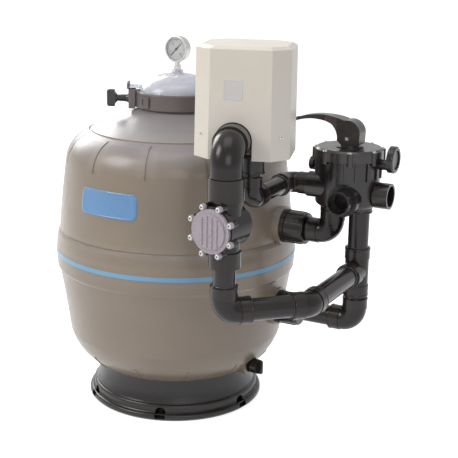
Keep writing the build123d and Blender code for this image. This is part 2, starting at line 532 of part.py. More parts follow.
def clamp_saddle():
    """Channel that straddles both ears and draws them together."""
    saddle = Pos(CLAMP_R + 2, 0, 0) * Box(
        SADDLE_X + SADDLE_T - CLAMP_R - 2, SADDLE_W + 10, CLAMP_H + SADDLE_TALL, align=OUTWARD)
    saddle = fillet(saddle.edges().filter_by(Axis.Z).sort_by(Axis.X)[-2:], 3)
    saddle -= Pos(SADDLE_X - EAR_OUT - 10, 0, 0) * Box(EAR_OUT + 10, SADDLE_W, 2 * CLAMP_H, align=OUTWARD)
    saddle -= Pos(SADDLE_X, 0, 0) * Rot(0, 90, 0) * Cylinder(CLAMP_BOLT_R + 0.4, 40)
    return clamp_frame() * saddle


def clamp_bolt():
    """T-head bolt that runs out between the ears."""
    out = compass(CLAMP_ANGLE)
    head = Pos(CLAMP_R + 1, 0, 0) * Box(7, SPLIT_W - 2 * FIT, 24, align=OUTWARD)
    return rod(out_at(out, CLAMP_R + 1, LID_RIM_Z), out, CLAMP_BOLT_R, CLAMP_BOLT_L) + clamp_frame() * head


def clamp_knob():
    """T-knob with a threaded hub on the clamp bolt."""
    start = SADDLE_X + SADDLE_T + 0.4
    turned = Rot(0, 90, 0)
    hub = Pos(start, 0, 0) * turned * Cone(KNOB_HUB_R + 3, KNOB_HUB_R, 6, align=BASE)
    hub += Pos(start + 6, 0, 0) * turned * Cone(KNOB_HUB_R, KNOB_HUB_R - 1.5, KNOB_HUB_L - 6, align=BASE)
    wing = Box(KNOB_T, KNOB_W, KNOB_H, align=OUTWARD)
    wing = fillet(wing.edges(), KNOB_W * 0.36)
    for side in (-1, 1):
        waist = Pos(-6, 0, side * KNOB_H * 0.46) * Rot(90, 0, 0) * Cylinder(KNOB_H * 0.3, 2 * KNOB_W)
        wing -= waist
    knob = hub + Pos(start + KNOB_HUB_L - 4, 0, 0) * wing
    return clamp_frame() * (knob - Pos(start, 0, 0) * turned * Cylinder(CLAMP_BOLT_R + 0.35, 50, align=BASE))


def gauge_frame():
    return Plane(origin=(0, 0, GAUGE_Z), x_dir=UP, z_dir=compass(GAUGE_FACING))


def gauge_case():
    """Steel case with a bottom stem screwed into the lid boss."""
    case = Pos(0, 0, GAUGE_BACK) * Cylinder(GAUGE_R - 2, GAUGE_T, align=BASE)
    case = fillet(case.edges().filter_by(GeomType.CIRCLE).sort_by(Axis.Z)[0], 5)
    case += Pos(0, 0, GAUGE_FRONT - 8) * Cylinder(GAUGE_R, 8, align=BASE)
    case = fillet(case.edges().filter_by(GeomType.CIRCLE).sort_by(Axis.Z)[-1], 2)
    case -= Pos(0, 0, GAUGE_FRONT - DIAL_DEEP) * Cylinder(GAUGE_R - BEZEL, DIAL_DEEP, align=BASE)
    stem = rod((0, 0, BOSS_Z - 8), UP, GAUGE_STEM_R, 20)
    stem += Pos(0, 0, BOSS_Z + 9) * extrude(RegularPolygon(GAUGE_STEM_R + 3, 6), 9)
    neck = BOSS_Z + 12
    stem += rod((0, 0, neck), UP, GAUGE_STEM_R - 0.5, GAUGE_Z - GAUGE_R + 3.2 - neck)
    return gauge_frame() * case + stem


def gauge_dial():
    level = GAUGE_FRONT - DIAL_DEEP
    dial = Pos(0, 0, level) * Cylinder(GAUGE_R - BEZEL - 0.3, DIAL_T, align=BASE)
    return gauge_frame() * (dial + Pos(0, 0, level + DIAL_T) * Cylinder(0.8, 2.4, align=BASE))


def gauge_window():
    pane = Cylinder(GAUGE_R - BEZEL - FIT, 1.6, align=BASE)
    return gauge_frame() * (Pos(0, 0, GAUGE_FRONT - 1.6) * pane)


def gauge_needle():
    """Needle drawn at rest, low on the left of the dial."""
    level = GAUGE_FRONT - DIAL_DEEP + DIAL_T + 1.4
    arm = Pos(-NEEDLE_TAIL, 0, 0) * Box(
        NEEDLE_L + NEEDLE_TAIL, NEEDLE_W, NEEDLE_T, align=(Align.MIN, Align.CENTER, Align.MIN))
    needle = Rot(0, 0, 135) * arm + Cylinder(3, NEEDLE_T, align=BASE)
    return gauge_frame() * Pos(0, 0, level) * (needle - Cylinder(0.8 + FIT, 4))


# Drain

def drain_spigot():
    """Flanged drain outlet through the boss."""
    out = compass(DRAIN_ANGLE)
    start, length = out_at(out, DRAIN_FACE - DRAIN_INSIDE, DRAIN_Z), DRAIN_INSIDE + SPIGOT_OUT
    body = rod(start, out, DRAIN_R, length)
    body += rod(out_at(out, DRAIN_FACE, DRAIN_Z), out, DRAIN_R + SPIGOT_FLANGE, SPIGOT_FLANGE_T)
    return body - rod(start, out, DRAIN_R - 5, length)


def drain_washer():
    out = compass(DRAIN_ANGLE)
    start = out_at(out, DRAIN_FACE + SPIGOT_OUT + 0.2, DRAIN_Z)
    return rod(start, out, DRAIN_R, WASHER_T) - rod(start, out, DRAIN_R - WASHER_W, WASHER_T)


def drain_cap():
    """Wing cap over the end of the spigot."""
    out = compass(DRAIN_ANGLE)
    lead = SPIGOT_FLANGE_T + 5
    start = out_at(out, DRAIN_FACE + lead, DRAIN_Z)
    inside = SPIGOT_OUT - lead + WASHER_T + 0.6
    cap = rod(start, out, DRAIN_R + CAP_WALL, inside + CAP_WALL)
    cap -= rod(start, out, DRAIN_R + CAP_GAP, inside)
    wing = Box(WING_L, WING_T, WING_H, align=OUTWARD)
    wing = fillet(wing.edges().filter_by(Axis.Y), WING_T - 1)
    foot = out_at(out, DRAIN_FACE + lead + inside, DRAIN_Z)
    return cap + Plane(origin=foot, x_dir=out, z_dir=UP) * wing


# Blower

U, V = compass(HOUSE_TURN), compass(HOUSE_TURN + 90)
STACK = Vector(STACK_X, STACK_Y, 0)
HOUSE = STACK + U * HOUSE_SIDE + V * (STACK_OFF + HOUSE_D / 2)
HOUSE_FRAME = Plane(origin=(HOUSE.X, HOUSE.Y, 0), x_dir=U, z_dir=UP)


def house_section(z, inset):
    """Chamfered rectangle at a height, tapering upwards."""
    shrink = inset + (z - HOUSE_Z) * math.tan(math.radians(HOUSE_DRAFT))
    outline = Rectangle(HOUSE_W - 2 * shrink, HOUSE_D - 2 * shrink)
    return Pos(0, 0, z) * chamfer(outline.vertices(), HOUSE_CHAMFER - inset * 0.4)


def outlet(radius, length, start=0.0):
    """Cylinder along the outlet, from the housing's centre line to the front."""
    return Pos(-HOUSE_SIDE, -start, OUTLET_Z) * Rot(90, 0, 0) * Cylinder(radius, length, align=BASE)


def arch(gap):
    """Arched opening under and round the outlet."""
    r = ARCH_R + gap
    below = Box(2 * r, 40, OUTLET_Z - HOUSE_Z, align=(Align.CENTER, Align.CENTER, Align.MIN))
    return outlet(r, 40, HOUSE_D / 2 - 20) + Pos(-HOUSE_SIDE, -HOUSE_D / 2, HOUSE_Z) * below


def blower_cover():
    """Drafted hood with chamfered corners, a crowned top and an outlet arch."""
    eave, w = HOUSE_TOP - CROWN_RISE, HOUSE_WALL
    body = loft([house_section(HOUSE_Z, 0), house_section(eave, 0)])
    body += loft([house_section(eave, 0), house_section(HOUSE_TOP, CROWN_INSET)])
    body -= loft([house_section(HOUSE_Z, w), house_section(eave - w, w)])
    return HOUSE_FRAME * (body - arch(ARCH_GAP))


def blower_base():
    """Base plate with a deep hub underneath that takes the support pipe."""
    plate = extrude(house_section(HOUSE_Z, HOUSE_WALL + 0.5), PLATE_T) - arch(ARCH_GAP)
    low = Pos(SUPPORT_SIDE, 0, HOUSE_Z - HUB_DROP)
    plate += low * Cylinder(BLOWER_HUB_OD / 2, HUB_DROP + 2, align=BASE)
    plate -= low * Cylinder(AIR_OD / 2 + FIT, AIR_SOCKET, align=BASE)
    return HOUSE_FRAME * (plate - low * Cylinder(AIR_ID / 2, HUB_DROP + 2 * PLATE_T, align=BASE))


def blower_volute():
    """Ring housing of the blower, with its outlet pipe and mounting feet."""
    z0, z1, w = VOLUTE_Z0, VOLUTE_Z1, VOLUTE_WALL
    body = Pos(0, 0, z0) * Cylinder(VOLUTE_R, z1 - z0, align=BASE)
    reach = STACK_OFF + HOUSE_D / 2 - BIG_STOP
    body += outlet(BIG_OD / 2, reach)
    for i in range(4):
        foot = compass(45 + 90 * i) * (VOLUTE_R - 4)
        body += Pos(foot.X, foot.Y, HOUSE_Z + PLATE_T) * Cylinder(9, 12, align=BASE)
    body -= Pos(0, 0, z0 + w) * Cylinder(VOLUTE_R - w, z1 - z0 - w, align=BASE)
    body -= outlet(BIG_ID / 2, reach)
    return HOUSE_FRAME * (body - Pos(SUPPORT_SIDE, 0, z0) * Cylinder(AIR_ID / 2, w, align=BASE))


def blower_motor():
    """Finned motor on a flange that closes the blower ring."""
    foot, can_top = VOLUTE_Z1 + 6, MOTOR_TOP - COWL_H
    motor = Pos(0, 0, VOLUTE_Z1) * Cylinder(VOLUTE_R, 6, align=BASE)
    motor += Pos(0, 0, foot) * Cylinder(MOTOR_R - 6, can_top - foot, align=BASE)
    fin = Box(7, 2.4, (can_top - foot) * 0.8, align=(Align.MIN, Align.CENTER, Align.MIN))
    for i in range(FINS):
        motor += Rot(0, 0, i * 360 / FINS) * Pos(MOTOR_R - 7, 0, foot + 2) * fin
    cowl = Pos(0, 0, can_top) * Cylinder(MOTOR_R, COWL_H, align=BASE)
    motor += fillet(cowl.edges().sort_by(Axis.Z)[-1], COWL_H * 0.28)
    motor += Pos(0, MOTOR_R - 4, foot + 24) * Box(46, 26, 46, align=BASE)
    return HOUSE_FRAME * (motor - Pos(0, 0, VOLUTE_Z1) * Cylinder(SHAFT_R + FIT, SHAFT_IN + 2, align=BASE))


def blower_impeller():
    """Shrouded wheel with raked blades on the motor shaft."""
    z = VOLUTE_Z0 + VOLUTE_WALL + IMPELLER_UP
    disc = Pos(0, 0, z + IMPELLER_T - 4) * Cylinder(IMPELLER_R, 4, align=BASE)
    blade = Pos(IMPELLER_R * 0.62, 0, z) * Rot(0, 0, 28) * Box(26, 2, IMPELLER_T - 3, align=BASE)
    for i in range(BLADES):
        disc += Rot(0, 0, i * 360 / BLADES) * blade
    disc += Pos(0, 0, z) * Cylinder(2 * SHAFT_R, IMPELLER_T, align=BASE)
    return HOUSE_FRAME * (disc + Pos(0, 0, z) * Cylinder(SHAFT_R, VOLUTE_Z1 + SHAFT_IN - z, align=BASE))


# Support and air line under the blower, to the valve's left port

SUPPORT = HOUSE + U * SUPPORT_SIDE
SUPPORT_TOP = (SUPPORT.X, SUPPORT.Y, HOUSE_Z - HUB_DROP + AIR_SOCKET)
SUPPORT_CORNER = (SUPPORT.X, SUPPORT.Y, LEFT_Z)
TURN_CORNER = (SUPPORT.X, LEFT_SIDE, LEFT_Z)


def support_pipe():
    return pipe(along(SUPPORT_CORNER, UP, AIR_STOP), SUPPORT_TOP, AIR_OD, AIR_ID)


def support_elbow():
    return elbow(SUPPORT_CORNER, UP, YP, AIR)


def support_run():
    return pipe(along(SUPPORT_CORNER, YP, AIR_STOP), along(TURN_CORNER, YN, AIR_STOP), AIR_OD, AIR_ID)


def support_turn():
    return elbow(TURN_CORNER, YN, XP, AIR)


# Outlet stack with the check valve

OUTLET_CORNER = (STACK_X, STACK_Y, OUTLET_Z)
AIR_CORNER = (STACK_X, STACK_Y, AIR_Z)
BEND_CORNER = (RISER_X, STACK_Y + CROSS_RUN, AIR_Z)
TEE_CORNER = (RISER_X, 0.0, AIR_Z)
CROSS = compass(45)
CHECK_OUT = compass(CHECK_TURN)
CHECK_FRAME = Plane(origin=(STACK_X, STACK_Y, CHECK_Z), x_dir=UP.cross(CHECK_OUT), z_dir=CHECK_OUT)


def outlet_elbow():
    """Large elbow with a collar that fills the arch of the housing."""
    bend = elbow(OUTLET_CORNER, V, DOWN, BIG, spigot_b=CHECK_SPIGOT)
    mouth = along(OUTLET_CORNER, V, BIG_STOP + BIG_SOCKET - 1)
    length = STACK_OFF - BIG_STOP - BIG_SOCKET + 14
    return bend + rod(mouth, V, ARCH_R, length) - rod(mouth, V, BIG_OD / 2 + FIT, length)


def screw_spots():
    return [compass((i + 0.5) * 360 / CHECK_SCREWS) * CHECK_PCD for i in range(CHECK_SCREWS)]


def check_body():
    """Cross-drum check valve body with sockets above and below."""
    front, back = CHECK_FRONT, CHECK_BACK
    drum = Pos(0, 0, -back) * Cylinder(CHECK_R, front + back, align=BASE)
    drum = fillet(drum.edges().filter_by(GeomType.CIRCLE).sort_by(Axis.Z)[0], 10)
    drum += Pos(0, 0, front - CHECK_FLANGE_T) * Cylinder(CHECK_FLANGE_R, CHECK_FLANGE_T, align=BASE)
    inside = Pos(0, 0, CHECK_WALL - back) * Cylinder(CHECK_R - CHECK_WALL, front + back - CHECK_WALL, align=BASE)
    for at in screw_spots():
        drum += Pos(at.X, at.Y, front - SHANK_L) * Cylinder(CHECK_BOSS_R, SHANK_L, align=BASE)
        inside += Pos(at.X, at.Y, front - SHANK_L + 4) * Cylinder(SCREW_R + FIT, SHANK_L - 4, align=BASE)
    drum += Pos(0, 0, -back - 12) * Cylinder(8, 14, align=BASE)
    axis, top, low = (STACK_X, STACK_Y, CHECK_Z), (STACK_X, STACK_Y, CHECK_TOP), (STACK_X, STACK_Y, CHECK_LOW)
    body = CHECK_FRAME * drum
    body += rod(top, DOWN, BIG_HUB / 2, COLLAR_H + 12)
    body += rod(axis, UP, BIG_BODY / 2, CHECK_UP - COLLAR_H - 12)
    body += rod(low, UP, BIG_BODY / 2, COLLAR_H)
    body += rod(low, UP, BIG_OD / 2, CHECK_DOWN)
    body -= CHECK_FRAME * inside
    seat = Pos(0, SEAT_UP, 0) * Rot(-90, 0, 0) * Cylinder(SEAT_R, 18, align=BASE)
    for side in (-1, 1):
        ear = Pos(side * 12, FLAP_PIVOT_UP, CHECK_WALL - 1 - back) * Box(6, 12, 15, align=BASE)
        hole = Pos(0, FLAP_PIVOT_UP, -FLAP_PIVOT_BACK) * Rot(0, 90, 0) * Cylinder(FLAP_PIN_R, 60)
        seat += ear - hole
    body += CHECK_FRAME * seat
    body -= rod(top, DOWN, BIG_OD / 2 + FIT, BIG_SOCKET)
    body -= rod(axis, UP, SEAT_R - 4, CHECK_UP)
    body -= rod(along(axis, UP, CHECK_R), UP, BIG_ID / 2, CHECK_UP - BIG_SOCKET - CHECK_R)
    body -= rod(low, UP, PIPE_OD / 2 + FIT, SOCKET)
    return body - rod(along(low, UP, SOCKET), UP, PIPE_ID / 2, CHECK_DOWN - SOCKET)


def check_cover():
    """Clear ribbed cover with a scalloped rim for eight screws."""
    cover = Pos(0, 0, CHECK_FRONT) * Cylinder(COVER_R, COVER_T, align=BASE)
    face, r = CHECK_FRONT + COVER_T, COVER_R - COVER_RIM
    cover += Pos(0, 0, face) * Cylinder(r, 3, align=BASE)
    for at in screw_spots():
        cover += Pos(at.X, at.Y, CHECK_FRONT) * Cylinder(CHECK_BOSS_R, COVER_T, align=BASE)
        cover -= Pos(at.X, at.Y, CHECK_FRONT) * Cylinder(SCREW_R + FIT, COVER_T, align=BASE)
    for side in (-3, -1, 1, 3):
        x = side * r / 6
        cover += Pos(x, 0, face + 3) * Box(2 * RIB_T, 1.8 * math.sqrt(r**2 - x**2), RIB_T, align=BASE)
    return CHECK_FRAME * cover


def check_screws():
    """Eight cross-head screws, one piece repeated round the cover."""
    face = CHECK_FRONT + COVER_T
    head = Pos(0, 0, face) * Cylinder(HEAD_R, HEAD_T, align=BASE)
    head = fillet(head.edges().filter_by(GeomType.CIRCLE).sort_by(Axis.Z)[-1], 1.8)
    screw = head + Pos(0, 0, face - SHANK_L) * Cylinder(SCREW_R, SHANK_L, align=BASE)
    return Compound(children=[CHECK_FRAME * Pos(at.X, at.Y, 0) * screw for at in screw_spots()])


def check_flap():
    """Flap with a hinge barrel, shut under the upper seat so that water can't rise."""
    level = Pos(0, SEAT_UP - FLAP_GAP, 0)
    disc = level * Rot(90, 0, 0) * Cylinder(FLAP_R, FLAP_T, align=BASE)
    arm = level * Box(14, FLAP_T, FLAP_PIVOT_BACK, align=(Align.CENTER, Align.MAX, Align.MAX))
    pivot = Pos(0, FLAP_PIVOT_UP, -FLAP_PIVOT_BACK) * Rot(0, 90, 0)
    return CHECK_FRAME * (disc + arm + pivot * Cylinder(BARREL_R, BARREL_L) - pivot * Cylinder(FLAP_PIN_R + FIT, 40))


def check_pin():
    pin = Pos(0, FLAP_PIVOT_UP, -FLAP_PIVOT_BACK) * Rot(0, 90, 0) * Cylinder(FLAP_PIN_R, BARREL_L + 13)
    return CHECK_FRAME * pin


def drop_pipe():
    return pipe(along(AIR_CORNER, UP, STOP), (STACK_X, STACK_Y, CHECK_LOW + SOCKET))


def air_elbow():
    return elbow(AIR_CORNER, UP, CROSS)


def cross_pipe():
    return pipe(along(AIR_CORNER, CROSS, STOP), along(BEND_CORNER, -CROSS, stop_at(45)))


def air_bend():
    return elbow(BEND_CORNER, -CROSS, YP)


def diagonal_pipe():
    return pipe(along(BEND_CORNER, YP, stop_at(45)), along(TEE_CORNER, YN, STOP))


# Valve lines to the tank

UPPER_CORNER = (VALVE_X - VALVE_PORT_SPREAD, 0.0, UPPER_PORT_Z)
LOWER_CORNER = (RISER_X, 0.0, LOWER_PORT_Z)


def upper_elbow():
    return elbow(UPPER_CORNER, UP, XN)


def upper_riser():
    return pipe(along(UPPER_CORNER, UP, STOP), (UPPER_CORNER[0], 0, VALVE_SOCKET_Z + SOCKET))


def riser_top():
    return pipe(along(TEE_CORNER, UP, STOP), (RISER_X, 0, VALVE_SOCKET_Z + SOCKET))


def riser_tee():
    return tee(TEE_CORNER, UP, YN)


def riser_bottom():
    return pipe(along(LOWER_CORNER, UP, STOP), along(TEE_CORNER, DOWN, STOP))


def lower_elbow():
    return elbow(LOWER_CORNER, UP, XN)


# Multiport valve

def at_valve(shape):
    return Pos(VALVE_X, 0, 0) * shape


def lug_ring(z, height, shape):
    for i in range(LUGS):
        at = compass((i + 0.5) * 360 / LUGS) * (LID_R - LUG_IN)
        shape += Pos(at.X, at.Y, z) * Cylinder(LUG_R, height, align=BASE)
    return shape


def valve_body():
    """Ribbed bowl with three side ports and two bottom sockets."""
    rim, floor = VALVE_RIM, VALVE_FLOOR
    right, front = (0, 0, VALVE_PORT_Z), (FRONT_SIDE, 0, VALVE_PORT_Z - FRONT_DROP)
    left, spigot = (0, LEFT_SIDE, LEFT_Z), VALVE_X - TURN_CORNER[0] - AIR_STOP
    body = Pos(0, 0, VALVE_BOTTOM) * Cylinder(VALVE_R, rim - VALVE_BOTTOM, align=BASE)
    body = fillet(body.edges().filter_by(GeomType.CIRCLE).sort_by(Axis.Z)[0], 10)
    body += Pos(0, 0, rim - LID_EDGE) * Cylinder(LID_R, LID_EDGE, align=BASE)
    body = lug_ring(rim - 16, 16, body)
    rib = Box(7, BODY_RIB_W, rim - floor - 14, align=(Align.MIN, Align.CENTER, Align.MIN))
    for i in range(BODY_RIBS):
        body += Rot(0, 0, (i + 0.5) * 360 / BODY_RIBS) * Pos(VALVE_R - 3, 0, floor + 8) * rib
    body += rod(right, XP, VALVE_HUB_OD / 2 - 3, VALVE_REACH - 12)
    body += rod(along(right, XP, VALVE_REACH - 34), XP, VALVE_HUB_OD / 2, 34)
    body += rod(front, YN, FRONT_HUB_OD / 2, FRONT_HUB_REACH) + rod(front, YN, FRONT_STUB_OD / 2, VALVE_REACH)
    body += rod(left, XN, HUB_OD / 2, LEFT_HUB_REACH) + rod(left, XN, AIR_OD / 2, spigot)
    for side in (-1, 1):
        body += rod((side * VALVE_PORT_SPREAD, 0, VALVE_SOCKET_Z), UP, HUB_OD / 2, SOCKET + 14)
    body += rod((0, 0, SIGHT_Z), XP, SIGHT_BOSS_R, VALVE_REACH - 6)
    body += rod((0, 0, rim - PLUG_DROP), XN, PLUG_R - 5, PLUG_REACH)
    body -= Pos(0, 0, floor) * Cylinder(VALVE_R - VALVE_WALL, rim - floor, align=BASE)
    drill = VALVE_R - VALVE_WALL - DRILL_R - 2
    for port, out, depth in ((right, XP, drill), (front, YN, drill - 3)):
        body -= rod(along(port, out, VALVE_REACH - SOCKET), out, PIPE_OD / 2 + FIT, SOCKET)
        lead = depth - DRILL_R - 1
        body -= rod(along(port, out, lead), out, CHANNEL_R, VALVE_REACH - SOCKET - lead)
        body -= rod(along(port, out, depth), UP, DRILL_R, floor - port[2])
    inlet = VALVE_R + 4
    body -= rod(along(left, XN, inlet), XN, AIR_ID / 2, spigot - inlet)
    near = math.sqrt(drill**2 - LEFT_SIDE**2)
    body -= rod(along(left, XN, near - DRILL_R - 1), XN, LEFT_CHANNEL_R, inlet - near + DRILL_R + 1)
    body -= rod(along(left, XN, near), UP, DRILL_R, floor - LEFT_Z)
    for side in (-1, 1):
        low = (side * VALVE_PORT_SPREAD, 0, VALVE_SOCKET_Z)
        body -= rod(low, UP, PIPE_OD / 2 + FIT, SOCKET)
        body -= rod(low, UP, RISER_BORE_R, floor - VALVE_SOCKET_Z)
    return at_valve(body)


def sight_cap():
    """Round cap of the sight glass on the waste side."""
    x, z = VALVE_REACH - 6, SIGHT_Z + SIGHT_CAP_RISE
    cap = rod((x, 0, z), XP, SIGHT_R, SIGHT_T)
    cap = fillet(cap.edges().filter_by(GeomType.CIRCLE).sort_by(Axis.X)[-1], 4)
    return at_valve(cap - rod((x + SIGHT_T - 3, 0, z), XP, SIGHT_R - 9, SIGHT_T))


def valve_plug():
    """Plug in the spare gauge port on the left."""
    plug = rod((-PLUG_REACH, 0, VALVE_RIM - PLUG_DROP), XN, PLUG_R, PLUG_T)
    return at_valve(fillet(plug.edges().filter_by(GeomType.CIRCLE).sort_by(Axis.X)[0], 3))


def valve_gasket():
    """Spoked gasket between the floor and the rotor."""
    pad = Pos(0, 0, VALVE_FLOOR) * Cylinder(VALVE_R - VALVE_WALL - 0.5, GASKET_T, align=BASE)
    hole = Pos(0, 0, VALVE_FLOOR) * Cylinder(RISER_BORE_R, GASKET_T, align=BASE)
    for i in range(6):
        at = compass(60 * i) * (VALVE_PORT_SPREAD + 2)
        pad -= Pos(at.X, at.Y, 0) * hole
    return at_valve(pad)


def valve_rotor():
    """Selector disc with one open port, on the stem that carries the pin."""
    disc = Pos(0, 0, ROTOR_Z) * Cylinder(VALVE_R - VALVE_WALL - ROTOR_GAP, ROTOR_T, align=BASE)
    disc -= Pos(VALVE_PORT_SPREAD + 2, 0, ROTOR_Z) * Cylinder(RISER_BORE_R, ROTOR_T, align=BASE)
    disc += Pos(0, 0, ROTOR_Z) * Cylinder(SLIP_R, ROTOR_T + 8, align=BASE)
    disc += Pos(0, 0, ROTOR_Z) * Cylinder(STEM_R, PIN_Z + STEM_TOP - ROTOR_Z, align=BASE)
    return at_valve(disc - Pos(0, 0, PIN_Z) * Rot(90, 0, 0) * Cylinder(PIN_R + FIT, HANDLE_W))


def valve_spring():
    """Coil spring that seats the rotor."""
    low = ROTOR_Z + ROTOR_T
    height = VALVE_RIM - low - SPRING_WIRE - 2 * SPRING_GAP
    path = Helix(pitch=height / SPRING_TURNS, height=height, radius=SPRING_R)
    coil = sweep(Plane(origin=path @ 0, z_dir=path % 0) * Circle(SPRING_WIRE / 2), path=path, is_frenet=True)
    return at_valve(Pos(0, 0, low + SPRING_WIRE / 2 + SPRING_GAP) * coil)


def valve_lid():
    """Flat lid with lugs and a stem boss."""
    lid = Pos(0, 0, VALVE_RIM) * Cylinder(LID_R, LID_T - 6, align=BASE)
    lid = lug_ring(VALVE_RIM, LID_T - 5, lid)
    lid += Pos(0, 0, VALVE_RIM + LID_T - 6) * Cone(LID_R - 2, LID_R - 7, 4, align=BASE)
    lid += Pos(0, 0, VALVE_RIM) * Cylinder(STEM_BOSS_R, LID_T, align=BASE)
    return at_valve(lid - Pos(0, 0, VALVE_RIM) * Cylinder(STEM_R + FIT, LID_T, align=BASE))


def slip_washer():
    washer = Pos(0, 0, LID_TOP) * Cylinder(SLIP_R, SLIP_T, align=BASE)
    return at_valve(washer - Pos(0, 0, LID_TOP) * Cylinder(STEM_R + 0.3, SLIP_T, align=BASE))


def handle_pin():
    return at_valve(Pos(0, 0, PIN_Z) * Rot(90, 0, 0) * Cylinder(PIN_R, HANDLE_W))


def valve_handle():
    """Cast lever: forked hub over the stem and a swept arm to the left."""
    z, reach, w = LID_TOP + SLIP_T + HANDLE_GAP, HANDLE_REACH, HANDLE_W / 2
    face = section(
        (26, z), (-14, z), (-24, z + 9), ((-28, z + 30), (-44, z + 46)), ((-72, z + 52), (4 - reach, z + 43)),
        ((-reach, z + 46), (6 - reach, z + 51)), ((-72, z + 64), (-8, z + 56)), ((20, z + 50), (31, z + 30)),
        (30, z + 4))
    block = extrude(face, w, both=True)
    plan = Polyline([(50, -w), (-26, -w), (-58, -ARM_W / 2), (-reach - 2, -ARM_W / 2),
                     (-reach - 2, ARM_W / 2), (-58, ARM_W / 2), (-26, w), (50, w)], close=True)
    block &= Pos(0, 0, z - 5) * extrude(make_face(plan), 100)
    block -= Pos(0, 0, z - 1) * Box(HANDLE_W, 2 * STEM_R + 1, 34, align=BASE)
    return at_valve(block - Pos(0, 0, PIN_Z) * Rot(90, 0, 0) * Cylinder(PIN_R + FIT, HANDLE_W + 2))


PARTS = {
    "base_stand": base_stand,
    "tank_vessel": tank_vessel,
    "blue_band": blue_band,
    "upper_bulkhead": lambda: bulkhead(UPPER_INNER_X, UPPER_PAD_X, UPPER_PORT_Z),
    "upper_union_tail": lambda: union_tail(UPPER_PAD_X, UPPER_PORT_Z, UPPER_CORNER[0] - STOP),
    "upper_union_nut": lambda: union_nut(UPPER_PAD_X, UPPER_PORT_Z),
    "lower_bulkhead": lambda: bulkhead(LOWER_INNER_X, LOWER_PAD_X, LOWER_PORT_Z),
    "lower_union_tail": lambda: union_tail(LOWER_PAD_X, LOWER_PORT_Z, LOWER_CORNER[0] - STOP),
    "lower_union_nut": lambda: union_nut(LOWER_PAD_X, LOWER_PORT_Z),
    "upper_diffuser": upper_diffuser,
    "lower_laterals": lower_laterals,
    "bead_bed": bead_bed,
    "filter_lid": filter_lid,
    "clamp_band": clamp_band,
    "clamp_saddle": clamp_saddle,
    "clamp_bolt": clamp_bolt,
    "clamp_knob": clamp_knob,
    "gauge_case": gauge_case,
    "gauge_dial": gauge_dial,
    "gauge_window": gauge_window,
    "gauge_needle": gauge_needle,
    "drain_spigot": drain_spigot,
    "drain_washer": drain_washer,
    "drain_cap": drain_cap,
    "blower_cover": blower_cover,
    "blower_base": blower_base,
    "blower_volute": blower_volute,
    "blower_motor": blower_motor,
    "blower_impeller": blower_impeller,
    "support_pipe": support_pipe,
    "support_elbow": support_elbow,
    "support_run": support_run,
    "support_turn": support_turn,
    "outlet_elbow": outlet_elbow,
    "check_body": check_body,
    "check_cover": check_cover,
    "check_screws": check_screws,
    "check_flap": check_flap,
    "check_pin": check_pin,
    "drop_pipe": drop_pipe,
    "air_elbow": air_elbow,
    "cross_pipe": cross_pipe,
    "air_bend": air_bend,
    "diagonal_pipe": diagonal_pipe,
    "upper_elbow": upper_elbow,
    "upper_riser": upper_riser,
    "riser_top": riser_top,
    "riser_tee": riser_tee,
    "riser_bottom": riser_bottom,
    "lower_elbow": lower_elbow,
    "valve_body": valve_body,
    "valve_lid": valve_lid,
    "sight_cap": sight_cap,
    "valve_plug": valve_plug,
    "valve_gasket": valve_gasket,
    "valve_rotor": valve_rotor,
    "valve_spring": valve_spring,
    "slip_washer": slip_washer,
    "handle_pin": handle_pin,
    "valve_handle": valve_handle,
}

os.makedirs("parts", exist_ok=True)
for name, make in PARTS.items():
    export_step(make(), f"parts/{name}.step")
    print(name)
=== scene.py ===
"""Looks of the pond bead filter: finishes for every CAD node and the fine pieces that ride on them."""
import json
import math

import bmesh
import bpy
from mathutils import Matrix, Vector


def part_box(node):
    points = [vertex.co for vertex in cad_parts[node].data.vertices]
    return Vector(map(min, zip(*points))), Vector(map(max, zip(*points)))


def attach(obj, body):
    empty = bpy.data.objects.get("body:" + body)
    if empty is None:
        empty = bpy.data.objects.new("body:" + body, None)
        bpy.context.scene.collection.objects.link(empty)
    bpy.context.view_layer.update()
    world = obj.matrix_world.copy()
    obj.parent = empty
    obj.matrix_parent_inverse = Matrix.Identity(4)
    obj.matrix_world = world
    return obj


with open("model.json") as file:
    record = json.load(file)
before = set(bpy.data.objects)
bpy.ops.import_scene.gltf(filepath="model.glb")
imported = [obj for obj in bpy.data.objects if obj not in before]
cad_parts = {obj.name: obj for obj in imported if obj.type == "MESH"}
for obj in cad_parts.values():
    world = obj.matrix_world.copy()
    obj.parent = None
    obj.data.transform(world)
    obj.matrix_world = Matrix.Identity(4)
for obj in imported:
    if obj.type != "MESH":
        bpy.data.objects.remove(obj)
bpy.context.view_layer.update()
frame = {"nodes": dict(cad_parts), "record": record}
NODES = frame["nodes"]

UP = Vector((0, 0, 1))
MM = 0.001
ROOT = "filter"


def compass(degrees):
    a = math.radians(degrees)
    return Vector((math.cos(a), math.sin(a), 0))


def low(node):
    return Vector(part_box(node)[0])


def high(node):
    return Vector(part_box(node)[1])


def centre(node):
    return (low(node) + high(node)) / 2


def linked(name, data):
    """New object in the scene's collection."""
    obj = bpy.data.objects.new(name, data)
    bpy.context.scene.collection.objects.link(obj)
    return obj


# Sizes and directions shared with the CAD, in metres and degrees

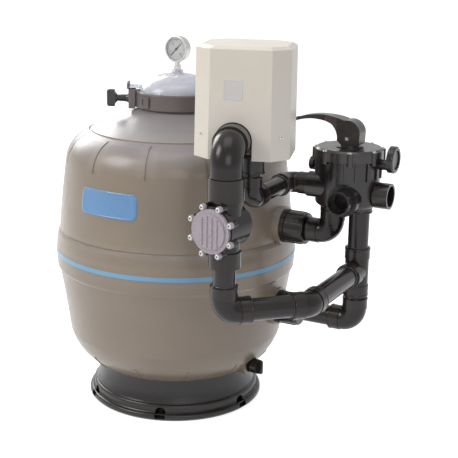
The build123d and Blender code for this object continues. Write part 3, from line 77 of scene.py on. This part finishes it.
SOCKET, AIR_SOCKET = 26 * MM, 22 * MM         # how deep a pipe sits in its hub
PIPE_R, HUB_R = 24.15 * MM, 29.5 * MM
AIR_R, AIR_HUB_R, BLOWER_HUB_R = 21.1 * MM, 26 * MM, 31 * MM
CROSS = compass(45)                           # along the cross pipe
HOUSE_TURN, HOUSE_DRAFT = 18.0, math.radians(0.5)
HOUSE_HALF, HOUSE_HALF_WIDE, HOUSE_CHAMFER = 93 * MM, 102 * MM, 36 * MM
CHECK_OUT = compass(-98)
CHECK_PCD, CHECK_FACE = 52 * MM, 56.2 * MM    # circle of the cover's screws, and their heads' level
LUG_PCD, LUG_DROP = 77 * MM, 5 * MM
SCREW_COUNT = 8                               # on the check valve's cover, and on the valve's lid
SCREW_STEP = 360 / SCREW_COUNT
GAUGE_OUT = compass(-95)
DIAL_LEVEL = 4.08 * MM                        # the dial's face, out from the window's middle
TAB_ANGLE, TAB_REACH, TAB_RISE = 208.0, 120 * MM, 32 * MM

# Sizes of the fine pieces

RING_SIDES, SCREW_SIDES, FOOT_SIDES = 64, 32, 160
BADGE_ANGLE, BADGE_HALF_ANGLE = -95.0, 16.4
BADGE_LOW, BADGE_HIGH = 520.5 * MM, 581 * MM
BADGE_THICK, BADGE_CORNER = 1.5 * MM, 14 * MM
STICKER_SIDE, STICKER_LEVEL = -15.5 * MM, 850 * MM
STICKER_HALF_WIDE, STICKER_HALF_TALL = 20.5 * MM, 21 * MM
STICKER_THICK, STICKER_CORNER = 0.35 * MM, 3 * MM
HOOD_SCREW_UP = 50 * MM
GRIP_HALF_WIDE, GRIP_HALF_TALL = 18.7 * MM, 8.7 * MM
GRIP_HALF_THICK, GRIP_CORNER = 2.9 * MM, 4 * MM
TICK_COUNT, TICK_STEP, DIAL_START = 31, 9, 135
TICKS_TO_NUMBER = 5                           # every fifth tick is a long one
TICK_OUTER = 24.4 * MM
LONG_TICK = (19.0 * MM, 0.42 * MM)            # inner radius and half width
SHORT_TICK = (21.4 * MM, 0.22 * MM)
TICK_TOP, TICK_FOOT = 0.16 * MM, -0.1 * MM
NUMBER_COUNT, NUMBER_STEP = 4, 90
NUMBER_RADIUS, NUMBER_SIZE = 15.2 * MM, 6.2 * MM
NUMBER_THICK, NUMBER_LIFT = 0.08 * MM, 0.05 * MM
STAND_BEAD_Z = 15.8 * MM


# Camera, fitted to the rings and pipe axes of the photograph

FOCAL = 1085.2 / 458          # focal length in image widths
CAM_AWAY, CAM_HIGH = 2.670, 1.158
CAM_COMPASS, CAM_YAW = 30.05, -2.87
CAM_PITCH, CAM_ROLL = 15.22, 1.125


def make_camera():
    data = bpy.data.cameras.new("camera")
    camera = linked("camera", data)
    data.sensor_width = 36.0
    data.lens = FOCAL * data.sensor_width
    data.clip_end = 60.0
    place = compass(CAM_COMPASS - 90) * CAM_AWAY + UP * CAM_HIGH
    back = compass(CAM_COMPASS + CAM_YAW - 90)
    pitch, roll = math.radians(CAM_PITCH), math.radians(CAM_ROLL)
    forward = -back * math.cos(pitch) - UP * math.sin(pitch)
    right = forward.cross(UP).normalized()
    upward = right.cross(forward)
    side = right * math.cos(roll) + upward * math.sin(roll)
    top = upward * math.cos(roll) - right * math.sin(roll)
    turn = Matrix((side, top, -forward)).transposed()
    camera.matrix_world = Matrix.Translation(place) @ turn.to_4x4()
    bpy.context.scene.camera = camera


# Materials

class Nodes:
    """Short way to write the node tree of a material or of the world."""

    def __init__(self, owner, output="ShaderNodeOutputMaterial"):
        self.owner = owner
        owner.use_nodes = True
        self.tree = owner.node_tree
        self.tree.nodes.clear()
        self.out = self.add(output)
        self.place = self.add("ShaderNodeTexCoord").outputs["Object"]

    def add(self, kind, **values):
        node = self.tree.nodes.new(kind)
        for key, value in values.items():
            setattr(node, key, value)
        return node

    def link(self, source, target):
        self.tree.links.new(source, target)

    def noise(self, scale, detail=3.0, roughness=0.55, stretch=None):
        node = self.add("ShaderNodeTexNoise")
        node.inputs["Scale"].default_value = scale
        node.inputs["Detail"].default_value = detail
        node.inputs["Roughness"].default_value = roughness
        place = self.place
        if stretch:
            mapping = self.add("ShaderNodeMapping")
            mapping.inputs["Scale"].default_value = stretch
            self.link(place, mapping.inputs["Vector"])
            place = mapping.outputs["Vector"]
        self.link(place, node.inputs["Vector"])
        return node.outputs["Fac"]

    def ramp(self, source, *stops):
        """Colour ramp from (position, colour) stops."""
        node = self.add("ShaderNodeValToRGB")
        band = node.color_ramp
        while len(band.elements) < len(stops):
            band.elements.new(0.5)
        for element, (position, colour) in zip(band.elements, stops):
            element.position = position
            if not hasattr(colour, "__len__"):
                colour = (colour,) * 3
            element.color = (*colour[:3], 1)
        self.link(source, node.inputs["Fac"])
        return node.outputs["Color"]

    def mix(self, factor, a, b, blend="MIX"):
        node = self.add("ShaderNodeMix", data_type="RGBA", blend_type=blend)
        for socket, value in ((node.inputs[0], factor), (node.inputs[6], a), (node.inputs[7], b)):
            if hasattr(value, "is_linked"):
                self.link(value, socket)
            elif hasattr(value, "__len__"):
                socket.default_value = (*value[:3], 1)
            else:
                socket.default_value = value
        return node.outputs[2]

    def maths(self, operation, a, b=0.5):
        node = self.add("ShaderNodeMath", operation=operation)
        for socket, value in zip(node.inputs, (a, b)):
            if hasattr(value, "is_linked"):
                self.link(value, socket)
            else:
                socket.default_value = value
        return node.outputs[0]

    def bump(self, height, distance, strength=0.5, under=None):
        node = self.add("ShaderNodeBump")
        node.inputs["Distance"].default_value = distance
        node.inputs["Strength"].default_value = strength
        self.link(height, node.inputs["Height"])
        if under:
            self.link(under, node.inputs["Normal"])
        return node.outputs["Normal"]

    def facing_up(self):
        split = self.add("ShaderNodeSeparateXYZ")
        self.link(self.add("ShaderNodeNewGeometry").outputs["Normal"], split.inputs[0])
        return split.outputs["Z"]

    def edges(self):
        """About 1 on convex edges, from the mesh itself."""
        return self.add("ShaderNodeNewGeometry").outputs["Pointiness"]

    def shader(self, **sockets):
        node = self.add("ShaderNodeBsdfPrincipled")
        for key, value in sockets.items():
            socket = node.inputs[key.replace("_", " ")]
            if hasattr(value, "is_linked"):
                self.link(value, socket)
            elif hasattr(value, "__len__") and len(value) == 3 and socket.type == "RGBA":
                socket.default_value = (*value, 1)
            else:
                socket.default_value = value
        self.link(node.outputs[0], self.out.inputs["Surface"])
        return node

    def background_rays(self):
        """1 for the rays that see the white background: camera, glossy and transmission rays."""
        path = self.add("ShaderNodeLightPath").outputs
        mirrored = self.maths("MAXIMUM", path["Is Glossy Ray"], path["Is Transmission Ray"])
        return self.maths("MAXIMUM", path["Is Camera Ray"], mirrored)


def shade(colour, factor):
    return tuple(min(1.0, c * factor) for c in colour)


DUST = (0.32, 0.30, 0.27)


def plastic(name, colour, rough, mottle=0.08, grain=900.0, depth=0.00012, speck=0.0, dust=0.0, wear=0.0,
            top=None, **more):
    """Moulded plastic: cloudy tone, fine grain, and optional specks, dust, edge wear and a painted sky sheen on
    upward faces.
    """
    n = Nodes(bpy.data.materials.new(name))
    cloud = n.noise(9.0, 4.0)
    tone = n.ramp(cloud, (0.3, shade(colour, 1 - mottle)), (0.7, shade(colour, 1 + mottle)))
    # Painted sky sheen: faces that look up are mixed toward the top colour, a painted reflection of the sky.
    if top:
        painted_sky_sheen = n.ramp(n.facing_up(), (0.15, 0.0), (0.9, 1.0))
        tone = n.mix(painted_sky_sheen, tone, top)
    if speck:
        dots = n.ramp(n.noise(1400.0, 1.0), (0.62, 0.0), (0.72, 1.0))
        tone = n.mix(n.maths("MULTIPLY", dots, speck), tone, shade(colour, 1.9))
    if dust:
        lying = n.ramp(n.facing_up(), (0.55, 0.0), (1.0, 1.0))
        patch = n.ramp(n.noise(26.0, 5.0), (0.35, 0.2), (0.75, 1.0))
        tone = n.mix(n.maths("MULTIPLY", n.maths("MULTIPLY", lying, patch), dust), tone, DUST)
    if wear:
        rubbed = n.ramp(n.edges(), (0.52, 0.0), (0.60, 1.0))
        tone = n.mix(n.maths("MULTIPLY", rubbed, wear), tone, shade(colour, 4.0))
    sheen = n.ramp(n.noise(34.0, 4.0), (0.25, max(0.02, rough - 0.06)), (0.8, min(1, rough + 0.08)))
    fine = n.bump(n.noise(grain, 2.0), depth, 0.45)
    wave = n.bump(n.noise(22.0, 2.0), 0.0012, 0.10, under=fine)
    n.shader(Base_Color=tone, Roughness=sheen, Normal=wave, **more)
    return n.owner


def metal(name, colour, rough, scratch=(900.0, 900.0, 30.0)):
    n = Nodes(bpy.data.materials.new(name))
    lines = n.noise(1.0, 4.0, stretch=scratch)
    tone = n.ramp(lines, (0.3, shade(colour, 0.82)), (0.7, shade(colour, 1.1)))
    grip = n.ramp(lines, (0.3, max(0.03, rough - 0.06)), (0.7, rough + 0.08))
    n.shader(Base_Color=tone, Metallic=1.0, Roughness=grip, Normal=n.bump(lines, 0.00005, 0.3))
    return n.owner


def clear(name, colour, rough=0.06, through=1.0, haze=0.0):
    """Clear moulding with faint flow marks and handling haze."""
    n = Nodes(bpy.data.materials.new(name))
    flow = n.noise(14.0, 3.0)
    grip = n.ramp(n.noise(60.0, 5.0), (0.3, rough), (0.85, rough + 0.14 + haze))
    n.shader(Base_Color=n.ramp(flow, (0.3, shade(colour, 0.94)), (0.7, colour)), Roughness=grip,
             Transmission_Weight=through, IOR=1.46, Normal=n.bump(flow, 0.0008, 0.2))
    return n.owner


TANK = (0.258, 0.207, 0.151)
BLACK = (0.0105, 0.0074, 0.0058)
PIPE = (0.0120, 0.0090, 0.0075)
BEIGE = (0.720, 0.668, 0.545)
BLUE = (0.130, 0.290, 0.510)

FINISH = {
    # The tank's top colour is a painted lavender-grey sky sheen on its shoulder and crown.
    "tank_shell": plastic("tank_shell", TANK, 0.37, mottle=0.05, grain=520.0, depth=0.0004, speck=0.10,
                          wear=0.12, top=(0.245, 0.225, 0.215), Coat_Weight=0.25, Coat_Roughness=0.22),
    "stand_black": plastic("stand_black", (0.0105, 0.0080, 0.0064), 0.31, grain=420.0, depth=0.0003, dust=0.05,
                           wear=0.2),
    "band_blue": plastic("band_blue", (0.19, 0.40, 0.56), 0.35, mottle=0.07, grain=1500.0, depth=0.00006),
    "fitting_black": plastic("fitting_black", BLACK, 0.22, grain=1500.0, depth=0.00008, dust=0.04, wear=0.4,
                             Specular_IOR_Level=0.38),
    "pipe_black": plastic("pipe_black", PIPE, 0.19, grain=1800.0, depth=0.00005, dust=0.05, wear=0.2,
                          Specular_IOR_Level=0.38),
    "valve_black": plastic("valve_black", (0.0120, 0.0092, 0.0080), 0.24, grain=800.0, depth=0.0002, dust=0.06,
                           wear=0.5, Specular_IOR_Level=0.6),
    "clamp_dark": plastic("clamp_dark", (0.118, 0.098, 0.093), 0.42, grain=900.0, depth=0.00014, wear=0.15),
    "housing_beige": plastic("housing_beige", BEIGE, 0.38, mottle=0.025, grain=1100.0, depth=0.00012, wear=0.1),
    "motor_grey": plastic("motor_grey", (0.16, 0.165, 0.17), 0.45, grain=900.0, depth=0.0001),
    "dial_white": plastic("dial_white", (0.74, 0.735, 0.70), 0.45, mottle=0.02, grain=2500.0, depth=0.00002),
    "needle_black": plastic("needle_black", (0.012, 0.012, 0.012), 0.4, grain=2500.0, depth=0.00002),
    "rubber_black": plastic("rubber_black", (0.016, 0.016, 0.016), 0.75, grain=1500.0, depth=0.0001),
    "bead_white": plastic("bead_white", (0.62, 0.62, 0.58), 0.5, grain=300.0, depth=0.001),
    "steel": metal("steel", (0.62, 0.61, 0.59), 0.26),
    "lid_clear": clear("lid_clear", (0.88, 0.89, 0.94), rough=0.08, through=0.55),
    "cover_clear": clear("cover_clear", (0.56, 0.50, 0.52), rough=0.16, through=0.30, haze=0.1),
}
BADGE = plastic("badge_blue", BLUE, 0.30, mottle=0.04, grain=1800.0, depth=0.00003, Coat_Weight=0.4,
                Coat_Roughness=0.1)
STICKER = plastic("sticker_pale", (0.66, 0.63, 0.58), 0.28, mottle=0.02, grain=2400.0, depth=0.00002)
BEAD_RING = plastic("joint_bead", (0.10, 0.092, 0.105), 0.22, grain=1200.0, depth=0.0001)
PANE = clear("gauge_pane", (0.97, 0.97, 0.98), rough=0.02)


def finish_nodes():
    """Give every CAD node the finish of its slot."""
    for entry in frame["record"]["subparts"]:
        data = NODES[entry["node"]].data
        data.materials.clear()
        finish = PANE if entry["node"] == "gauge_window" else FINISH[entry["material_slot"]]
        data.materials.append(finish)


# Pieces

def piece(name, points, faces, slot, material=None, body=ROOT, smooth=True):
    """Mesh piece that rides on a body and takes its finish from a slot."""
    data = bpy.data.meshes.new(name)
    data.from_pydata([tuple(p) for p in points], [], faces)
    shape = bmesh.new()
    shape.from_mesh(data)
    bmesh.ops.recalc_face_normals(shape, faces=shape.faces)
    shape.to_mesh(data)
    shape.free()
    for face in data.polygons:
        face.use_smooth = smooth
    if smooth:
        data.set_sharp_from_angle(angle=math.radians(35))
    obj = linked(name, data)
    data.materials.append(material or FINISH[slot])
    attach(obj, body)
    return obj


def axes(out):
    """Two directions square to an axis, for pieces turned about it."""
    out = out.normalized()
    side = out.orthogonal().normalized() if abs(out.z) > 0.9 else UP.cross(out).normalized()
    return side, out.cross(side), out


def turned(points, faces, origin, out, profile, sides):
    """Add a closed (radius, height) profile revolved about an axis to a mesh."""
    side, top, out = axes(out)
    first, count = len(points), len(profile)
    for i in range(sides):
        a = 2 * math.pi * i / sides
        spoke = side * math.cos(a) + top * math.sin(a)
        for radius, height in profile:
            points.append(origin + spoke * radius + out * height)
    for i in range(sides):
        j = (i + 1) % sides
        for k in range(count):
            m = (k + 1) % count
            here, there = first + i * count, first + j * count
            faces.append((here + k, there + k, there + m, here + m))


def boxed(faces, first):
    """Add the six faces of a box whose eight corners start at a point's number."""
    for corners in ((0, 1, 2, 3), (7, 6, 5, 4), (0, 4, 5, 1), (1, 5, 6, 2), (2, 6, 7, 3), (3, 7, 4, 0)):
        faces.append(tuple(first + k for k in corners))


def lip_profile(pipe, hub):
    """Rounded lip on a socket's mouth, a little proud of the hub and clear of the pipe."""
    return [(pipe + 0.0004, 0.0008), (hub - 0.0012, 0.0012), (hub + 0.0002, 0.0004),
            (hub + 0.0007, -0.0008), (hub + 0.0006, -0.0040), (hub - 0.0001, -0.0052),
            (hub - 0.0006, -0.0040), (hub - 0.0014, -0.0004), (pipe + 0.0004, -0.0004)]


def bead_profile(pipe):
    """Squeezed bead of joint compound where a pipe enters its socket."""
    return [(pipe - 0.0003, 0.0008), (pipe + 0.0009, 0.0010), (pipe + 0.0013, 0.0017),
            (pipe + 0.0008, 0.0024), (pipe - 0.0003, 0.0026)]


def mouths():
    """Every glued socket: (place, outward direction, pipe radius, hub radius)."""
    found = []

    def pipe_ends(node, axis, socket, pipe, low_hub, high_hub):
        a, b = centre(node), centre(node)
        index = max(range(3), key=lambda k: abs(axis[k]))
        a[index] = low(node)[index] + socket
        b[index] = high(node)[index] - socket
        if low_hub:
            found.append((a, axis, pipe, low_hub))
        if high_hub:
            found.append((b, -axis, pipe, high_hub))

    across = Vector((0, 1, 0))
    for node in ("upper_riser", "riser_top", "riser_bottom"):
        pipe_ends(node, UP, SOCKET, PIPE_R, HUB_R, HUB_R)
    pipe_ends("drop_pipe", UP, SOCKET, PIPE_R, HUB_R, None)
    pipe_ends("diagonal_pipe", across, SOCKET, PIPE_R, HUB_R, HUB_R)
    pipe_ends("support_run", across, AIR_SOCKET, AIR_R, AIR_HUB_R, AIR_HUB_R)
    pipe_ends("support_pipe", UP, AIR_SOCKET, AIR_R, AIR_HUB_R, BLOWER_HUB_R)
    middle = centre("cross_pipe")
    across_box = high("cross_pipe").x - low("cross_pipe").x
    half = (across_box - 2 * PIPE_R * CROSS.x) / 2 / CROSS.x
    found.append((middle - CROSS * (half - SOCKET), CROSS, PIPE_R, HUB_R))
    found.append((middle + CROSS * (half - SOCKET), -CROSS, PIPE_R, HUB_R))
    for tail in ("upper_union_tail", "lower_union_tail"):
        end = centre(tail)
        end.x = high(tail).x - SOCKET
        found.append((end, Vector((-1, 0, 0)), PIPE_R, HUB_R))
    return found


def joint_rings():
    """Lip and squeezed bead at every glued socket."""
    lips, beads = ([], []), ([], [])
    for place, out, pipe, hub in mouths():
        turned(*lips, place, out, lip_profile(pipe, hub), RING_SIDES)
        turned(*beads, place, out, bead_profile(pipe), RING_SIDES)
    piece("socket_lips", *lips, "fitting_black")
    piece("joint_beads", *beads, "pipe_black", BEAD_RING)


def screw_profile(radius, height):
    """Low domed screw head, sunk a little into what carries it."""
    return [(radius * 0.02, -0.0008), (radius * 0.92, -0.0008), (radius, height * 0.35),
            (radius * 0.86, height * 0.75), (radius * 0.5, height * 0.97), (radius * 0.02, height)]


def recess_shade_cross(points, faces, place, out, reach, width, lift):
    """Thin dark cross on a screw head: painted shade that stands for the shade in its recess."""
    side, top, out = axes(out)
    for a, b in ((side, top), (top, side)):
        first = len(points)
        for z in (lift, lift - 0.0006):
            for u, v in ((-1, -1), (1, -1), (1, 1), (-1, 1)):
                points.append(place + a * (u * reach) + b * (v * width) + out * z)
        boxed(faces, first)


def check_valve_screws():
    """Dark crosses of painted shade for the recesses in the eight screws of the check valve's cover."""
    side, top, out = axes(CHECK_OUT)
    stack = centre("drop_pipe")
    middle = Vector((stack.x, stack.y, centre("check_cover").z))
    marks = ([], [])
    for i in range(SCREW_COUNT):
        a = math.radians((i + 0.5) * SCREW_STEP)
        place = middle + (side * math.cos(a) + top * math.sin(a)) * CHECK_PCD
        # Painted recess shade: a dark cross on each screw head.
        recess_shade_cross(*marks, place, out, 2.9 * MM, 0.75 * MM, CHECK_FACE + 0.1 * MM)
    piece("screw_recess_shades", *marks, "needle_black", smooth=False)


def valve_lid_screws():
    """Eight cap screws with washers on the lugs of the valve lid, with painted shade in their recesses."""
    middle, top = centre("valve_lid"), high("valve_lid").z - LUG_DROP
    washer = [(0.0001, -0.0003), (0.0058, -0.0003), (0.0059, 0.0003), (0.0056, 0.0007), (0.0001, 0.0007)]
    heads, washers, marks = ([], []), ([], []), ([], [])
    for i in range(SCREW_COUNT):
        place = middle + compass((i + 0.5) * SCREW_STEP) * LUG_PCD
        place.z = top
        turned(*washers, place, UP, washer, SCREW_SIDES)
        turned(*heads, place + UP * 0.9 * MM, UP, screw_profile(4.3 * MM, 3.0 * MM), SCREW_SIDES)
        # Dark cross of painted shade for each screw's recess.
        recess_shade_cross(*marks, place, UP, 2.3 * MM, 0.55 * MM, 4.0 * MM)
    piece("lid_screw_heads", *heads, "steel")
    piece("lid_screw_washers", *washers, "steel")
    piece("lid_screw_recess_shades", *marks, "needle_black", smooth=False)


def rounded(half_wide, half_tall, corner, steps=8, stride=0.004):
    """Outline of a rounded rectangle, anticlockwise, with its straight sides divided."""
    corners = []
    for cx, cy, start in ((1, 1, 0), (-1, 1, 90), (-1, -1, 180), (1, -1, 270)):
        for i in range(steps + 1):
            a = math.radians(start + 90 * i / steps)
            corners.append((cx * (half_wide - corner) + corner * math.cos(a),
                            cy * (half_tall - corner) + corner * math.sin(a)))
    outline = []
    for (x0, y0), (x1, y1) in zip(corners, corners[1:] + corners[:1]):
        parts = max(1, int(math.hypot(x1 - x0, y1 - y0) / stride))
        outline.extend((x0 + (x1 - x0) * i / parts, y0 + (y1 - y0) * i / parts) for i in range(parts))
    return outline


def plate(name, half_wide, half_tall, corner, place, levels, slot, material):
    """Moulded plate on any surface: rings of one outline at (share, depth) levels."""
    outline = rounded(half_wide, half_tall, corner)
    count = len(outline)
    points, faces = [place(0, 0, levels[0][1])], []
    for share, depth in levels:
        points.extend(place(x * share, y * share, depth) for x, y in outline)
    for i in range(count):
        faces.append((0, 1 + i, 1 + (i + 1) % count))
    for ring in range(len(levels) - 1):
        a, b = 1 + ring * count, 1 + (ring + 1) * count
        for i in range(count):
            j = (i + 1) % count
            faces.append((a + i, a + j, b + j, b + i))
    last = 1 + (len(levels) - 1) * count
    points.append(place(0, 0, levels[-1][1]))
    for i in range(count):
        faces.append((len(points) - 1, last + (i + 1) % count, last + i))
    return piece(name, points, faces, slot, material)


# Sections of a plate from its middle outwards, as (share of its outline, depth) levels
RIMMED = [(0.35, 1.0), (0.7, 1.0), (0.88, 1.0), (0.90, 1.35), (0.94, 1.45), (0.965, 1.1),
          (0.99, 0.8), (1.0, 0.3), (1.0, -0.6), (0.7, -0.6), (0.35, -0.6)]
SOFT = [(0.35, 1.0), (0.8, 1.0), (0.93, 0.9), (0.985, 0.6), (1.0, 0.2),
        (1.0, -0.2), (0.985, -0.6), (0.93, -0.9), (0.8, -1.0), (0.35, -1.0)]


def tank_radius(z):
    """Outside of the tank at a height behind the badge, cast onto its mesh."""
    tank, reach = NODES["tank_vessel"], []
    for step in range(-12, 13):
        out = compass(BADGE_ANGLE + step)
        hit, place, _, _ = tank.ray_cast(out * 0.6 + UP * z, -out)
        if hit:
            reach.append(math.hypot(place.x, place.y))
    return max(reach)


def badge():
    """Bare plate moulded to the tank's curve."""
    middle = (BADGE_LOW + BADGE_HIGH) / 2
    tall = (BADGE_HIGH - BADGE_LOW) / 2
    radii = [(z, tank_radius(z)) for z in (middle - tall, middle, middle + tall)]
    wide = math.radians(BADGE_HALF_ANGLE) * radii[1][1]

    def place(x, y, depth):
        z = middle + y
        share = (y + tall) / tall
        k = 0 if share < 1 else 1
        (_, r0), (_, r1) = radii[k], radii[k + 1]
        radius = r0 + (r1 - r0) * (share - k) + depth * BADGE_THICK
        return compass(BADGE_ANGLE + math.degrees(x / radii[1][1])) * radius + UP * z

    plate("badge_plate", wide, tall, BADGE_CORNER, place, RIMMED, "band_blue", BADGE)


def house_axes():
    """The hood's directions across and out of its front, and its middle."""
    return compass(HOUSE_TURN), compass(HOUSE_TURN - 90), centre("blower_cover")


def sticker():
    """Bare pale plate on the front of the hood."""
    across, out, middle = house_axes()
    base = low("blower_cover").z

    def place(x, y, depth):
        z = STICKER_LEVEL + y
        lean = (z - base) * math.tan(HOUSE_DRAFT)
        reach = HOUSE_HALF - lean + depth * STICKER_THICK
        return Vector((middle.x, middle.y, z)) + across * (STICKER_SIDE + x) + out * reach

    plate("hood_plate", STICKER_HALF_WIDE, STICKER_HALF_TALL, STICKER_CORNER, place, RIMMED,
          "housing_beige", STICKER)


def hood_screws():
    """Screws on the two front chamfers, low down, as seen on the right one, with dark crosses of painted recess
    shade.
    """
    across, out, middle = house_axes()
    heads, marks = ([], []), ([], [])
    inward = HOOD_SCREW_UP * math.tan(HOUSE_DRAFT) + HOUSE_CHAMFER / 2
    for sign in (-1, 1):
        normal = (across * sign + out).normalized()
        place = Vector((middle.x, middle.y, low("blower_cover").z + HOOD_SCREW_UP))
        place += across * sign * (HOUSE_HALF_WIDE - inward) + out * (HOUSE_HALF - inward)
        turned(*heads, place, normal, screw_profile(4.2 * MM, 2.2 * MM), SCREW_SIDES)
        # Dark cross of painted shade for each screw's recess.
        recess_shade_cross(*marks, place, normal, 2.1 * MM, 0.5 * MM, 2.3 * MM)
    piece("hood_screws", *heads, "steel")
    piece("hood_screw_recess_shades", *marks, "needle_black", smooth=False)


def gauge_scale():
    """Ticks and plain numbers on the gauge's dial."""
    face = Vector((0, 0, centre("gauge_window").z)) + GAUGE_OUT * DIAL_LEVEL
    left = GAUGE_OUT.cross(UP)
    points, faces = [], []
    for i in range(TICK_COUNT):
        a = math.radians(DIAL_START - TICK_STEP * i)
        spoke = UP * math.cos(a) + left * math.sin(a)
        cross = left * math.cos(a) - UP * math.sin(a)
        inner, half = SHORT_TICK if i % TICKS_TO_NUMBER else LONG_TICK
        first = len(points)
        for depth in (TICK_TOP, TICK_FOOT):
            for radius, sign in ((inner, -1), (inner, 1), (TICK_OUTER, 1), (TICK_OUTER, -1)):
                points.append(face + spoke * radius + cross * sign * half + GAUGE_OUT * depth)
        boxed(faces, first)
    piece("dial_ticks", points, faces, "needle_black", smooth=False)
    for i in range(NUMBER_COUNT):
        a = math.radians(DIAL_START - NUMBER_STEP * i)
        spoke = UP * math.cos(a) + left * math.sin(a)
        place = face + spoke * NUMBER_RADIUS + GAUGE_OUT * NUMBER_LIFT
        number("dial_number_%d" % i, str(10 * i), place, GAUGE_OUT)


def number(name, text, place, out):
    """Flat number as a mesh, standing upright on a face."""
    curve = bpy.data.curves.new(name, "FONT")
    curve.body = text
    curve.size = NUMBER_SIZE
    curve.extrude = NUMBER_THICK
    curve.align_x = "CENTER"
    curve.align_y = "CENTER"
    holder = bpy.data.objects.new(name + "_text", curve)
    data = bpy.data.meshes.new_from_object(holder)
    bpy.data.objects.remove(holder)
    right = UP.cross(out)
    data.transform(Matrix.Translation(place) @ Matrix((right, UP, out)).transposed().to_4x4())
    obj = linked(name, data)
    data.materials.clear()
    data.materials.append(FINISH["needle_black"])
    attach(obj, ROOT)


def lid_grip():
    """Dark grip over the upstanding lip of the lid's lifting tab."""
    out = compass(TAB_ANGLE)
    side = UP.cross(out)
    origin = out * TAB_REACH + UP * (low("filter_lid").z + TAB_RISE)

    def place(x, y, depth):
        return origin + side * x + UP * y + out * depth * GRIP_HALF_THICK

    plate("lid_grip", GRIP_HALF_WIDE, GRIP_HALF_TALL, GRIP_CORNER, place, SOFT,
          "clamp_dark", FINISH["clamp_dark"])


def stand_foot_ring():
    """Thin moulded bead on the stand's step."""
    ring = ([], [])
    edge = high("base_stand").x
    profile = [(edge - 8.4 * MM, 0.0), (edge - 6.4 * MM, 1.1 * MM), (edge - 4.6 * MM, 0.2 * MM),
               (edge - 4.8 * MM, -1.4 * MM), (edge - 8.2 * MM, -1.2 * MM)]
    turned(*ring, UP * STAND_BEAD_Z, UP, profile, FOOT_SIDES)
    piece("stand_bead", *ring, "stand_black")


# Stage and light

FLOOR_SIZE, FLOOR_GREY, FLOOR_GLOW = 60, 0.62, 0.80
UNDER_STAND, PAST_STAND = 0.205, 0.222        # the floor's glow starts between these radii
SKY_COLOUR, SKY_STRENGTH = (0.90, 0.91, 1.0, 1), 0.52
BACKGROUND_GREY = 0.8


def floor():
    """Pale floor that looks white, keeps the shadow and stays dark under the stand."""
    n = Nodes(bpy.data.materials.new("floor"))
    away = n.add("ShaderNodeVectorMath", operation="LENGTH")
    n.link(n.place, away.inputs[0])
    outside = n.ramp(away.outputs["Value"], (UNDER_STAND, 0.0), (PAST_STAND, 1.0))
    glow = n.maths("MULTIPLY", n.maths("MULTIPLY", n.background_rays(), FLOOR_GLOW), outside)
    n.shader(Base_Color=(FLOOR_GREY,) * 3, Roughness=0.9, Specular_IOR_Level=0.0,
             Emission_Color=(1, 1, 1), Emission_Strength=glow)
    bpy.ops.mesh.primitive_plane_add(size=FLOOR_SIZE, location=(0, 0, 0))
    plane = bpy.context.object
    plane.name = "floor"
    plane.data.materials.append(n.owner)


def surroundings():
    """World that lights softly, and is pale where it is seen or mirrored."""
    world = bpy.data.worlds.new("world")
    bpy.context.scene.world = world
    n = Nodes(world, "ShaderNodeOutputWorld")
    sky, pale = n.add("ShaderNodeBackground"), n.add("ShaderNodeBackground")
    sky.inputs["Color"].default_value = SKY_COLOUR
    sky.inputs["Strength"].default_value = SKY_STRENGTH
    pale.inputs["Color"].default_value = (*(BACKGROUND_GREY,) * 3, 1)
    pale.inputs["Strength"].default_value = 1.0
    blend = n.add("ShaderNodeMixShader")
    n.link(n.background_rays(), blend.inputs[0])
    n.link(sky.outputs[0], blend.inputs[1])
    n.link(pale.outputs[0], blend.inputs[2])
    n.link(blend.outputs[0], n.out.inputs["Surface"])


def lamp(name, place, aim, size, power, colour):
    data = bpy.data.lights.new(name, "AREA")
    data.shape = "RECTANGLE"
    data.size, data.size_y = size
    data.energy = power
    data.color = colour
    light = linked(name, data)
    light.location = place
    light.rotation_euler = (Vector(aim) - Vector(place)).to_track_quat("-Z", "Y").to_euler()


def lights():
    target = (0.1, -0.1, 0.5)
    lamp("key", (-1.9, -2.2, 2.8), target, (1.5, 1.5), 56, (1.0, 0.985, 0.96))
    lamp("rim", (-2.6, 1.5, 2.0), target, (2.2, 1.6), 66, (1.0, 0.99, 0.98))
    lamp("fill", (2.6, -3.0, 2.0), target, (2.0, 1.6), 26, (0.92, 0.91, 1.0))
    lamp("top", (0.4, -0.6, 3.6), target, (2.2, 1.8), 22, (0.90, 0.89, 1.0))


make_camera()
finish_nodes()
joint_rings()
check_valve_screws()
valve_lid_screws()
badge()
sticker()
hood_screws()
gauge_scale()
lid_grip()
stand_foot_ring()
floor()
surroundings()
lights()
bpy.context.scene.view_settings.view_transform = "Standard"
